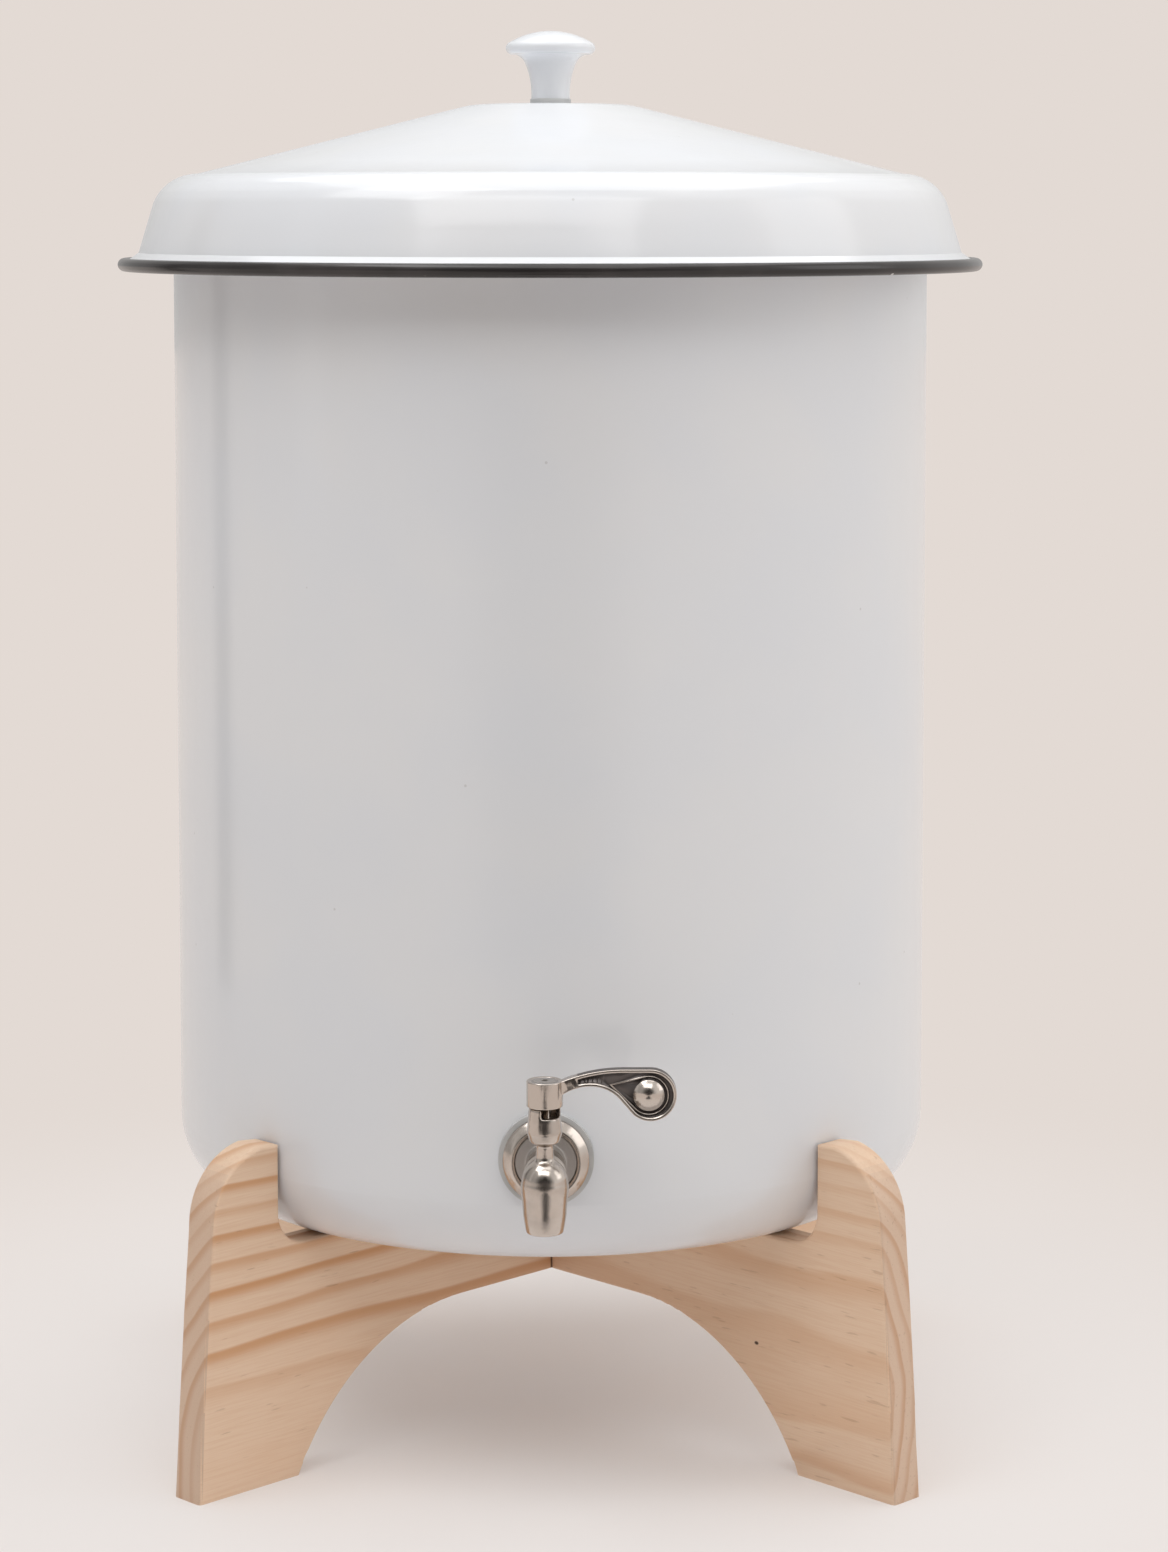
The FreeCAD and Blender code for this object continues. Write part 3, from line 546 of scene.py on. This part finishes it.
def turned_copy(node, name, marks=()):
    """A round CAD node turned again from its own section, in even faces."""
    work = bmesh.new()
    turns = [math.tau * step / TURN_STEPS for step in range(TURN_STEPS)]
    for points in section_of(node, marks):
        closed = (Vector(points[0]) - Vector(points[-1])).length < SAME_PLACE
        rings = []
        for reach, height in points[:-1] if closed else points:
            if reach < ON_AXIS:
                rings.append([work.verts.new((0.0, TANK_AXIS_Y, height))] * TURN_STEPS)
                continue
            rings.append([
                work.verts.new((reach * math.cos(turn), TANK_AXIS_Y + reach * math.sin(turn), height))
                for turn in turns
            ])
        pairs = list(zip(rings, rings[1:])) + ([(rings[-1], rings[0])] if closed else [])
        for lower, upper in pairs:
            for step in range(TURN_STEPS):
                corners = dict.fromkeys((lower[step - 1], lower[step], upper[step], upper[step - 1]))
                if len(corners) > 2:
                    work.faces.new(list(corners))
    bmesh.ops.recalc_face_normals(work, faces=work.faces)
    return object_from(work, name)


def bake_modifiers(piece):
    """The piece with its modifiers applied and removed."""
    bpy.context.view_layer.update()
    graph = bpy.context.evaluated_depsgraph_get()
    result = bpy.data.meshes.new_from_object(piece.evaluated_get(graph))
    piece.modifiers.clear()
    piece.data = result
    return piece


def apply_modifier(piece, kind, **settings):
    """The piece shaped by one modifier."""
    modifier = piece.modifiers.new(kind.lower(), kind)
    for name, value in settings.items():
        setattr(modifier, name, value)
    return bake_modifiers(piece)


def bore_for_shank(shell):
    """The tank's wall with its round hole for the tap's shank."""
    front = TANK_AXIS_Y - 0.14
    spots = [vert.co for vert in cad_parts["tank_shell"].data.vertices if vert.co.y < front]
    reaches = [math.hypot(spot.x, spot.z - BORE_Z) for spot in spots]
    radius = max(reach for reach in reaches if reach < HOLE_LIMIT)
    turn = Matrix.Translation((0.0, TANK_LOW.y, BORE_Z)) @ Matrix.Rotation(math.radians(90), 4, "X")
    work = bmesh.new()
    bmesh.ops.create_cone(
        work, cap_ends=True, segments=HOLE_STEPS, radius1=radius, radius2=radius, depth=0.03, matrix=turn,
    )
    cutter = object_from(work, "cutter")
    apply_modifier(shell, "BOOLEAN", operation="DIFFERENCE", object=cutter, solver="EXACT")
    bpy.data.objects.remove(cutter)


def shade(piece, angle=CRISP_ANGLE):
    """Smooth shading, with edges sharper than an angle kept crisp."""
    for face in piece.data.polygons:
        face.use_smooth = True
    piece.data.set_sharp_from_angle(angle=math.radians(angle))


def joined(first, second):
    """Two copies as one mesh."""
    work = bmesh.new()
    work.from_mesh(first.data)
    work.from_mesh(second.data)
    work.to_mesh(first.data)
    work.free()
    bpy.data.objects.remove(second)
    return first


def weigh(piece, weight_at):
    """A vertex group that holds how far each point of the piece takes part."""
    group = piece.vertex_groups.new(name="share")
    for vert in piece.data.vertices:
        weight = weight_at(vert.co)
        if weight > 0.0:
            group.add([vert.index], weight, "REPLACE")
    return group.name


def fill_corners(piece, tap):
    """Soft fillets where the tap's neck meets its housing and its spout: swelled, melted, shrunk back."""
    low, high = SPOUT_TOP + 0.004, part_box("gland_nut")[0].z - 0.002
    back, fade = STEM_Y + 0.009, 0.003

    def on_neck(spot):
        return min((spot.z - low) / fade, (high - spot.z) / fade, (back - spot.y) / fade, 1.0)

    for travel in (tap.fillet, -tap.fillet):
        group = weigh(piece, on_neck)
        apply_modifier(piece, "DISPLACE", strength=travel, mid_level=0.0, vertex_group=group)
        piece.vertex_groups.clear()
        apply_modifier(piece, "REMESH", mode="VOXEL", voxel_size=tap.cast_voxel)


def melt_together(piece, tap):
    """A casting's sharp inner corners melted into soft fillets."""
    apply_modifier(piece, "REMESH", mode="VOXEL", voxel_size=tap.cast_voxel)
    apply_modifier(
        piece, "CORRECTIVE_SMOOTH",
        iterations=tap.polish_rounds, smooth_type="LENGTH_WEIGHTED", use_only_smooth=True,
    )


def flow_over(piece, height, reach, rounds):
    """The casting's line at one height smoothed until one form flows into the other."""
    def near_line(spot):
        outside = math.hypot(spot.x, spot.y - STEM_Y) > 0.007 and spot.y < STEM_Y + 0.004
        return min(1.0, (1.0 - abs(spot.z - height) / reach) * 2.0) if outside else 0.0

    group = weigh(piece, near_line)
    apply_modifier(piece, "SMOOTH", vertex_group=group, factor=0.5, iterations=rounds)
    piece.vertex_groups.clear()


def lighten(piece, most):
    """The piece with no more than a set number of triangles."""
    piece.data.calc_loop_triangles()
    count = len(piece.data.loop_triangles)
    if count > most:
        apply_modifier(piece, "DECIMATE", ratio=most / count)


def fit_out(piece, material, body, node=None):
    """The piece gets its finish and its body, and stands for its CAD node."""
    piece.data.materials.clear()
    piece.data.materials.append(material)
    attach(piece, body)
    if node:
        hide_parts(node)


def dress(node, name, material, body, ease=0.0, angle=CRISP_ANGLE, turned=False):
    """A CAD node's smooth-shaded copy in its finish, with its crisp edges eased."""
    piece = turned_copy(node, name) if turned else merged_copy(node, name)
    if ease:
        apply_modifier(
            piece, "BEVEL",
            width=ease, segments=2, limit_method="ANGLE", angle_limit=math.radians(angle),
            use_clamp_overlap=True,
        )
    shade(piece, angle)
    fit_out(piece, material, body, node)


# Settings

def colour(name, description, red, green, blue):
    """A colour setting, given as screen values from 0 to 255."""
    return FloatVectorProperty(
        name=name, description=description, default=srgb(red, green, blue), size=3, subtype="COLOR",
    )


def number(name, description, default, **limits):
    """A number setting, with its unit or limits."""
    return FloatProperty(name=name, description=description, default=default, **limits)


def length(name, description, default):
    """A length setting, in metres."""
    return number(name, description, default, unit="LENGTH")


def power(name, description, default):
    """A lamp's power setting, in watts."""
    return number(name, description, default, unit="POWER")


class EnamelSettings(bpy.types.PropertyGroup):
    """Enamel of the tank, lid and knob."""
    white: colour("White", "Colour of the white enamel", 232, 234, 237)
    rim: colour("Rim", "Colour of the lid's dark rolled rim", 40, 37, 37)
    gloss_roughness: number("Gloss roughness", "Roughness of the fired gloss", 0.16, min=0.02, max=0.6)
    enamel_wave: length("Wave depth", "Depth of the enamel's slow wave", 0.0006)


class BoardSettings(bpy.types.PropertyGroup):
    """Grain of one board."""
    pith_across: length("Pith across", "Where the log's heart lies across the board", -0.097)
    pith_height: length("Pith height", "How high the log's heart lies", 0.010)
    ring_width: length("Ring width", "Width of one year's growth", 0.0074)
    waver: length("Waver", "How far the rings stray", 0.003)
    contrast: number("Contrast", "Strength of the late wood", 0.95, min=0, max=1)
    dash_level: number("Dash level", "Lower for more resin dashes", 0.7)
    streaks: number("Streaks", "Strength of the resin dashes", 0.3, min=0, max=1)
    plain_below: length("Plain below", "Height under which the board shows few bands", 0.042)
    end_shade: number("End shade", "How far the cut ends lean to their own colour", 0.45, min=0, max=1)
    knot_place: FloatVectorProperty(
        name="Knot place", description="Where a pin knot lies on the board", default=(0.0, 0.0, -1.0),
        size=3, subtype="TRANSLATION",
    )
    knot_radius: length("Knot radius", "Radius of the pin knot", 0.0009)


class StandSettings(bpy.types.PropertyGroup):
    """Wood of the crossed boards."""
    pine_light: colour("Early wood", "Light colour of the pine", 240, 210, 182)
    pine_late: colour("Late wood", "Band colour of the pine", 212, 157, 110)
    pine_end: colour("Cut ends", "Colour the cut ends lean to", 196, 170, 152)
    pine_resin: colour("Resin", "Colour of the short resin dashes", 168, 120, 86)
    board_a: PointerProperty(type=BoardSettings, name="First board", description="Grain of the left leg")
    board_b: PointerProperty(type=BoardSettings, name="Second board", description="Grain of the right leg")


class TapSettings(bpy.types.PropertyGroup):
    """Steel and sizes of the tap."""
    steel: colour("Steel", "Colour of the polished steel", 206, 196, 187)
    field_steel: colour("Field steel", "Colour of the lever's pressed field", 112, 106, 104)
    steel_roughness: number("Roughness", "Roughness of the polish", 0.15, min=0.02, max=0.8)
    cast_voxel: length("Cast grain", "Cell size used to melt the casting's corners", 0.00028)
    polish_rounds: IntProperty(
        name="Polish rounds", description="How often the casting is smoothed", default=14, min=0, max=60,
    )
    cast_triangles: IntProperty(
        name="Cast triangles", description="Most triangles the casting may have", default=120000, min=1000,
    )
    flow_rounds: IntProperty(
        name="Flow rounds", description="How often the dome's line is smoothed", default=380, min=0, max=600,
    )
    fillet: length("Fillet", "How far the corners at the tap's neck are filled", 0.0012)
    thread_pitch: length("Thread pitch", "Pitch of the shank's thread", 0.0015)
    thread_depth: length("Thread depth", "Height of the thread's ridge", 0.0004)


class PotSettings(bpy.types.PropertyGroup):
    """Clay of the filter pot."""
    clay: colour("Clay", "Main colour of the clay", 196, 128, 92)
    clay_deep: colour("Deep clay", "Darker patches of the clay", 176, 104, 72)
    clay_pale: colour("Pale clay", "Salt bloom and grit", 218, 172, 142)


class StageSettings(bpy.types.PropertyGroup):
    """Floor, light and camera."""
    floor: colour("Floor", "Colour of the floor", 242, 240, 240)
    wall: colour("Wall", "Colour of the far backdrop", 227, 218, 212)
    # Floor near is where the floor's painted glow starts, under the tank, so that the glow lightens the shade
    # there.
    floor_near: length("Floor near", "Where the floor starts to fade", -0.12)
    floor_far: length("Floor far", "Where the floor has the wall's colour", 0.62)
    room_light: number("Room light", "Strength of the room's even light", 0.65)
    side_tilt: number("Side tilt", "How much brighter the right of the room is", 0.38)
    front_dim: number("Front dim", "Share of the light that the camera's side gives", 0.05, min=0, max=1)
    top_power: power("Top light", "Power of the overhead light", 13.4)
    key_power: power("Key light", "Power of the high front light", 9.0)
    lid_power: power("Lid light", "Power of the high left light", 6.0)
    left_power: power("Left light", "Power of the left light", 0.3)
    right_power: power("Right light", "Power of the right light", 3.4)
    eye_distance: length("Eye distance", "Camera to tank axis", 1.5976)
    eye_height: length("Eye height", "Height of the camera", 0.51403)
    eye_side: length("Eye side", "How far right the camera stands", 0.0221)
    look_down: number("Look down", "How far the camera tips down", math.radians(4.7493), subtype="ANGLE")
    lens: number("Lens", "Focal length of the camera in millimetres", 86.61)
    shift_across: number("Shift across", "Sideways shift of the lens", -0.01195)
    shift_up: number("Shift up", "Upward shift of the lens", -0.165)


class FilterSettings(bpy.types.PropertyGroup):
    """All the settings of the water filter."""
    enamel: PointerProperty(type=EnamelSettings, name="Enamel", description="Enamel of the tank and lid")
    stand: PointerProperty(type=StandSettings, name="Stand", description="Wood of the stand")
    tap: PointerProperty(type=TapSettings, name="Tap", description="Steel and sizes of the tap")
    pot: PointerProperty(type=PotSettings, name="Clay pot", description="Clay of the filter pot")
    stage: PointerProperty(type=StageSettings, name="Stage", description="Floor, light and camera")


def settings_now():
    """The settings kept on the scene."""
    return bpy.context.scene.water_filter


def set_second_board(board):
    """Paler and finer grain than the first board's, with one pin knot."""
    board.pith_across = -0.104
    board.pith_height = 0.045
    board.ring_width = 0.0066
    board.waver = 0.0045
    board.contrast = 0.42
    board.dash_level = 0.655
    board.plain_below = -0.02
    board.streaks = 0.26
    board.knot_place = (0.1287, -0.008, 0.050)


# Operators

class FILTER_OT_effects(bpy.types.Operator):
    """Builds the shader groups that the finishes share"""
    bl_idname = "filter.effects"
    bl_label = "Build shared effects"

    def execute(self, context):
        make_skin_group()
        make_speck_group()
        make_grain_group()
        make_polish_group()
        return {"FINISHED"}


class FILTER_OT_tank(bpy.types.Operator):
    """Dresses the enamelled tank and its rolled edge"""
    bl_idname = "filter.tank"
    bl_label = "Tank"

    def execute(self, context):
        enamel = finish_named("white_enamel_coat", white_enamel, settings_now().enamel)
        shell = turned_copy("tank_shell", "tank_enamel", marks=(BORE_Z - HOLE_MARGIN, BORE_Z + HOLE_MARGIN))
        bore_for_shank(shell)
        shade(shell)
        fit_out(shell, enamel, "tank", "tank_shell")
        dress("tank_rim_bead", "tank_rolled_edge", enamel, "tank", turned=True)
        return {"FINISHED"}


class FILTER_OT_lid(bpy.types.Operator):
    """Dresses the lid, its dark rolled rim, the knob and its fixing"""
    bl_idname = "filter.lid"
    bl_label = "Lid and knob"

    def execute(self, context):
        settings = settings_now()
        enamel = finish_named("white_enamel_coat", white_enamel, settings.enamel)
        rim = black_enamel(settings.enamel)
        steel = finish_named("satin_steel", satin_steel)
        pale = finish_named("milky_silicone", silicone)
        dress("lid_shell", "lid_enamel", enamel, "lid", turned=True)
        dress("lid_rim_bead", "lid_dark_rim", rim, "lid", angle=60.0, turned=True)
        dress("lid_knob", "knob_enamel", enamel, "lid", turned=True)
        dress("knob_seat_washer", "knob_washer", pale, "lid", ease=0.0002)
        dress("knob_inner_washer", "knob_under_washer", steel, "lid", ease=0.00015)
        dress("knob_screw", "knob_fixing_screw", steel, "lid", ease=0.00015)
        return {"FINISHED"}


class FILTER_OT_stand(bpy.types.Operator):
    """Dresses the two crossed pine boards"""
    bl_idname = "filter.stand"
    bl_label = "Crossed boards"

    def execute(self, context):
        stand = settings_now().stand
        for node, board in (("base_board_a", stand.board_a), ("base_board_b", stand.board_b)):
            wood = pine("pine_of_" + node, BOARD_HEADING[node], board, stand)
            dress(node, node + "_pine", wood, "base", ease=0.0007)
        return {"FINISHED"}


class FILTER_OT_pot(bpy.types.Operator):
    """Dresses the clay filter pot and its seat ring"""
    bl_idname = "filter.pot"
    bl_label = "Clay pot"

    def execute(self, context):
        dress("filter_pot", "clay_pot", fired_clay(settings_now().pot), "filter", turned=True)
        dress("pot_collar", "pot_seat_ring", seat_plastic(), "filter", turned=True)
        return {"FINISHED"}


class FILTER_OT_tap(bpy.types.Operator):
    """Dresses the tap: casting, spout, rosette, seals, lever and valve"""
    bl_idname = "filter.tap"
    bl_label = "Tap"

    def execute(self, context):
        tap = settings_now().tap
        polished = polished_steel("tap_polished_steel", tap)
        steel = finish_named("satin_steel", satin_steel)
        pale = finish_named("milky_silicone", silicone)
        casting = joined(merged_copy("tap_body", "tap_casting"), merged_copy("tap_spout", "tap_spout_copy"))
        fill_corners(casting, tap)
        melt_together(casting, tap)
        flow_over(casting, SPOUT_TOP, FLOW_REACH, tap.flow_rounds)
        lighten(casting, tap.cast_triangles)
        shade(casting, 50.0)
        fit_out(casting, polished_steel("cast_steel", tap, dull_back=True), "tank", "tap_body")
        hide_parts("tap_spout")
        dress("tap_rosette", "tap_rosette_steel", polished, "tank", ease=0.00025)
        dress("tap_lever", "tap_lever_steel", lever_steel(tap), "lever")
        dress("lever_screw", "lever_fixing_screw", steel, "lever", ease=0.00015)
        dress("valve_plug", "valve_plug_steel", polished, "lever")
        for node in ("tap_washer", "tap_back_nut", "gland_nut"):
            dress(node, node + "_steel", steel, "tank", ease=0.0002)
        for node in ("tap_outer_gasket", "tap_inner_gasket", "valve_seat_seal", "stem_orings"):
            dress(node, node + "_silicone", pale, "tank")
        return {"FINISHED"}


def thread_tree():
    """Geometry nodes that wind one ridge along a shank."""
    tree = bpy.data.node_groups.new("Shank thread", "GeometryNodeTree")
    for name, default in (("Radius", SHANK_RADIUS), ("Length", 0.010), ("Pitch", 0.0015), ("Ridge", 0.0004)):
        socket = tree.interface.new_socket(name, in_out="INPUT", socket_type="NodeSocketFloat")
        socket.default_value = default
    tree.interface.new_socket("Finish", in_out="INPUT", socket_type="NodeSocketMaterial")
    tree.interface.new_socket("Geometry", in_out="OUTPUT", socket_type="NodeSocketGeometry")
    given = tree.nodes.new("NodeGroupInput").outputs
    result = tree.nodes.new("NodeGroupOutput")

    def wired(kind, **inputs):
        """A node with its inputs fed by name."""
        node = tree.nodes.new(kind)
        for name, source in inputs.items():
            feed(tree, source, node.inputs[name.replace("_", " ")])
        return node.outputs[0]

    spiral = wired(
        "GeometryNodeCurveSpiral",
        Resolution=48,
        Rotations=maths(tree, "DIVIDE", given["Length"], given["Pitch"]),
        Start_Radius=given["Radius"],
        End_Radius=given["Radius"],
        Height=given["Length"],
    )
    ridge = wired("GeometryNodeCurvePrimitiveCircle", Resolution=6, Radius=given["Ridge"])
    sweep = wired("GeometryNodeCurveToMesh", Curve=spiral, Profile_Curve=ridge, Fill_Caps=True)
    real = wired("GeometryNodeRealizeInstances", Geometry=sweep)
    finished = wired("GeometryNodeSetMaterial", Geometry=real, Material=given["Finish"])
    feed(tree, finished, result.inputs["Geometry"])
    return tree


class FILTER_OT_thread(bpy.types.Operator):
    """Winds the thread that shows on the shank behind the back nut"""
    bl_idname = "filter.thread"
    bl_label = "Shank thread"

    def execute(self, context):
        tap = settings_now().tap
        steel = finish_named("satin_steel", satin_steel)
        start = NUT_HIGH.y + tap.thread_depth
        values = {
            "Radius": SHANK_RADIUS - tap.thread_depth * 0.5,
            "Length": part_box("tap_body")[1].y - start - tap.thread_depth,
            "Pitch": tap.thread_pitch,
            "Ridge": tap.thread_depth,
            "Finish": steel,
        }
        piece = add_object("shank_thread", bpy.data.meshes.new("shank_thread"))
        winding = piece.modifiers.new("thread", "NODES")
        winding.node_group = thread_tree()
        for socket in winding.node_group.interface.items_tree:
            if socket.in_out == "INPUT":
                winding[socket.identifier] = values[socket.name]
        bake_modifiers(piece)
        along_bore = Matrix.Translation((0.0, start, BORE_Z)) @ Matrix.Rotation(math.radians(-90), 4, "X")
        piece.data.transform(along_bore)
        shade(piece)
        fit_out(piece, steel, "tank")
        return {"FINISHED"}


# Each lamp: its name, place, target, size, and the setting that holds its power
LAMPS = (
    ("top_softbox", (0.0, 0.25, 1.9), (0.0, 0.0, 0.3), (1.8, 1.8), "top_power"),
    ("key_softbox", (-0.15, -1.3, 1.8), (0.0, 0.0, 0.3), (1.9, 0.8), "key_power"),
    ("lid_softbox", (-0.8, -0.45, 2.0), (-0.1, 0.0, 0.5), (0.9, 0.9), "lid_power"),
    ("left_softbox", (-1.6, -0.5, 0.9), (0.0, 0.0, 0.3), (0.3, 1.4), "left_power"),
    ("right_softbox", (1.7, -0.3, 1.1), (0.0, 0.0, 0.35), (0.9, 1.2), "right_power"),
)

# Each dark card: its name, the middle of its near edge, its directions across and along, and half its width
CARDS = (
    ("front_card", (0.0, -1.2, 0.0), (1.0, 0.0, 0.0), (0.0, 0.0, 0.6), 0.7),
    ("streak_card", (0.025, -0.38, 0.001), (1.0, 0.0, 0.0), (0.0, -0.7, 0.0), 0.14),
    ("left_card", (-0.98, 0.35, 0.0), (0.454, 0.891, 0.0), (0.0, 0.0, 1.3), 0.13),
)


def add_lamp(name, spot, target, size, watts):
    """A soft rectangular light that looks at a target."""
    lamp = bpy.data.lights.new(name, "AREA")
    lamp.shape = "RECTANGLE"
    lamp.size, lamp.size_y = size
    lamp.energy = watts
    holder = add_object(name, lamp)
    holder.location = spot
    holder.visible_camera = False
    holder.rotation_euler = (Vector(target) - Vector(spot)).to_track_quat("-Z", "Y").to_euler()


def soft_card(name, near_middle, across, along, half_width):
    """A dark card, soft at its edges, that only mirrors see: its reflection draws the gloss."""
    card, tree, shader = new_material(name)
    shader.inputs["Base Color"].default_value = (*srgb(58, 56, 56), 1.0)
    shader.inputs["Roughness"].default_value = 0.9
    across, along = Vector(across).normalized(), Vector(along)
    off_middle = vector_maths(tree, "SUBTRACT", object_place(tree), near_middle)
    shares = []
    for unit, fade_start in ((across / half_width, 0.15), (along.normalized() / along.length, 0.5)):
        reach = maths(tree, "ABSOLUTE", vector_maths(tree, "DOT_PRODUCT", off_middle, unit, output="Value"))
        shares.append(between(tree, reach, fade_start, 1.0, 1.0, 0.0))
    feed(tree, maths(tree, "MULTIPLY", *shares), shader.inputs["Alpha"])
    side, near = across * half_width, Vector(near_middle)
    corners = [near - side, near + side, near + along + side, near + along - side]
    mesh = bpy.data.meshes.new(name)
    mesh.from_pydata(corners, [], [(0, 1, 2, 3)])
    mesh.materials.append(card)
    holder = add_object(name, mesh)
    holder.visible_camera = False
    holder.visible_shadow = False
    holder.visible_diffuse = False


def glowing_floor_material(stage):
    """Pale floor that glows into the wall's colour with distance: its far part stands in for the backdrop,
    and its painted glow already starts under the tank, where it lifts the shadow.
    """
    material, tree, shader = new_material("stage_paper")
    reach = vector_maths(tree, "LENGTH", object_place(tree), output="Value")
    # Share of the floor's painted glow: already above nought under the tank, where it lightens the shade.
    far = between(tree, reach, stage.floor_near, stage.floor_far)
    black = (0.0, 0.0, 0.0)
    feed(tree, mix_colour(tree, far, stage.floor, black), shader.inputs["Base Color"])
    feed(tree, mix_colour(tree, far, black, stage.wall), shader.inputs["Emission Color"])
    shader.inputs["Emission Strength"].default_value = 1.0
    below = place(tree, "ShaderNodeNewGeometry").outputs["Backfacing"]
    feed(tree, maths(tree, "SUBTRACT", 1.0, below), shader.inputs["Alpha"])
    shader.inputs["Roughness"].default_value = 0.9
    shader.inputs["Specular IOR Level"].default_value = 0.0
    return material


class FILTER_OT_stage(bpy.types.Operator):
    """Makes the floor, the soft light and the camera"""
    bl_idname = "filter.stage"
    bl_label = "Stage"

    def execute(self, context):
        stage = settings_now().stage
        self.make_floor(stage)
        self.make_room(stage)
        for name, spot, target, size, setting in LAMPS:
            add_lamp(name, spot, target, size, getattr(stage, setting))
        for card in CARDS:
            soft_card(*card)
        self.make_camera(stage)
        return {"FINISHED"}

    def make_floor(self, stage):
        """A wide round floor"""
        work = bmesh.new()
        bmesh.ops.create_circle(work, cap_ends=True, segments=96, radius=FLOOR_RADIUS)
        floor = object_from(work, "stage_floor")
        floor.data.materials.append(glowing_floor_material(stage))

    def make_room(self, stage):
        """Even light, brighter at the right, dim behind the camera, with a dark band for the gloss"""
        world = bpy.data.worlds.new("studio_room")
        bpy.context.scene.world = world
        world.use_nodes = True
        tree = world.node_tree
        tree.nodes.clear()
        axes = split(tree, place(tree, "ShaderNodeTexCoord").outputs["Generated"])
        front = between(tree, axes["Y"], -0.55, -0.97)
        level = between(tree, front, 0.0, 1.0, 1.0, stage.front_dim, False)
        tilt = maths(tree, "MULTIPLY_ADD", axes["X"], stage.side_tilt, 1.0)
        level = maths(tree, "MULTIPLY", level, tilt)
        off_line = maths(tree, "ABSOLUTE", maths(tree, "SUBTRACT", axes["X"], 0.04))
        band = maths(tree, "MULTIPLY", between(tree, off_line, 0.05, 0.22, 1.0, 0.0), front)
        level = maths(tree, "MULTIPLY", level, maths(tree, "MULTIPLY_ADD", band, -0.7, 1.0))
        room = place(tree, "ShaderNodeBackground")
        feed(tree, srgb(250, 248, 246), room.inputs["Color"])
        feed(tree, maths(tree, "MULTIPLY", level, stage.room_light), room.inputs["Strength"])
        seen = place(tree, "ShaderNodeBackground")
        feed(tree, stage.wall, seen.inputs["Color"])
        mix = place(tree, "ShaderNodeMixShader")
        to_eye = place(tree, "ShaderNodeLightPath").outputs["Is Camera Ray"]
        for socket, source in zip(mix.inputs, (to_eye, room.outputs[0], seen.outputs[0])):
            feed(tree, source, socket)
        feed(tree, mix.outputs[0], place(tree, "ShaderNodeOutputWorld").inputs["Surface"])

    def make_camera(self, stage):
        """The camera at the photo's place"""
        camera = bpy.data.cameras.new("photo_camera")
        camera.lens = stage.lens
        camera.sensor_width = SENSOR_WIDTH
        camera.shift_x = stage.shift_across
        camera.shift_y = stage.shift_up
        holder = add_object("photo_camera", camera)
        holder.location = (stage.eye_side, TANK_AXIS_Y - stage.eye_distance, stage.eye_height)
        holder.rotation_euler = (math.radians(90) - stage.look_down, 0.0, 0.0)
        bpy.context.scene.camera = holder


STEPS = ("effects", "tank", "lid", "stand", "pot", "tap", "thread", "stage")


class FILTER_PT_panel(bpy.types.Panel):
    """Lists the water filter's pieces and settings"""
    bl_idname = "FILTER_PT_panel"
    bl_label = "Water filter"
    bl_space_type = "VIEW_3D"
    bl_region_type = "UI"
    bl_category = "Water filter"

    def draw(self, context):
        for step in STEPS:
            self.layout.operator("filter." + step)
        settings = context.scene.water_filter
        stand = settings.stand
        owners = (
            ("Enamel", settings.enamel), ("Stand", stand), ("First board", stand.board_a),
            ("Second board", stand.board_b), ("Tap", settings.tap), ("Clay pot", settings.pot),
            ("Stage", settings.stage),
        )
        for title, owner in owners:
            box = self.layout.box()
            box.label(text=title)
            for name, setting in owner.bl_rna.properties.items():
                if name != "name" and setting.type != "POINTER":
                    box.prop(owner, name)


CLASSES = (
    EnamelSettings,
    BoardSettings,
    StandSettings,
    TapSettings,
    PotSettings,
    StageSettings,
    FilterSettings,
    FILTER_OT_effects,
    FILTER_OT_tank,
    FILTER_OT_lid,
    FILTER_OT_stand,
    FILTER_OT_pot,
    FILTER_OT_tap,
    FILTER_OT_thread,
    FILTER_OT_stage,
    FILTER_PT_panel,
)


def register():
    for cls in CLASSES:
        bpy.utils.register_class(cls)
    bpy.types.Scene.water_filter = PointerProperty(
        type=FilterSettings, name="Water filter", description="Settings of the water filter",
    )


def unregister():
    del bpy.types.Scene.water_filter
    for cls in reversed(CLASSES):
        bpy.utils.unregister_class(cls)


def main():
    register()
    bpy.context.scene.view_settings.view_transform = "Standard"
    set_second_board(settings_now().stand.board_b)
    for step in STEPS:
        getattr(bpy.ops.filter, step)()


if __name__ == "__main__":
    main()
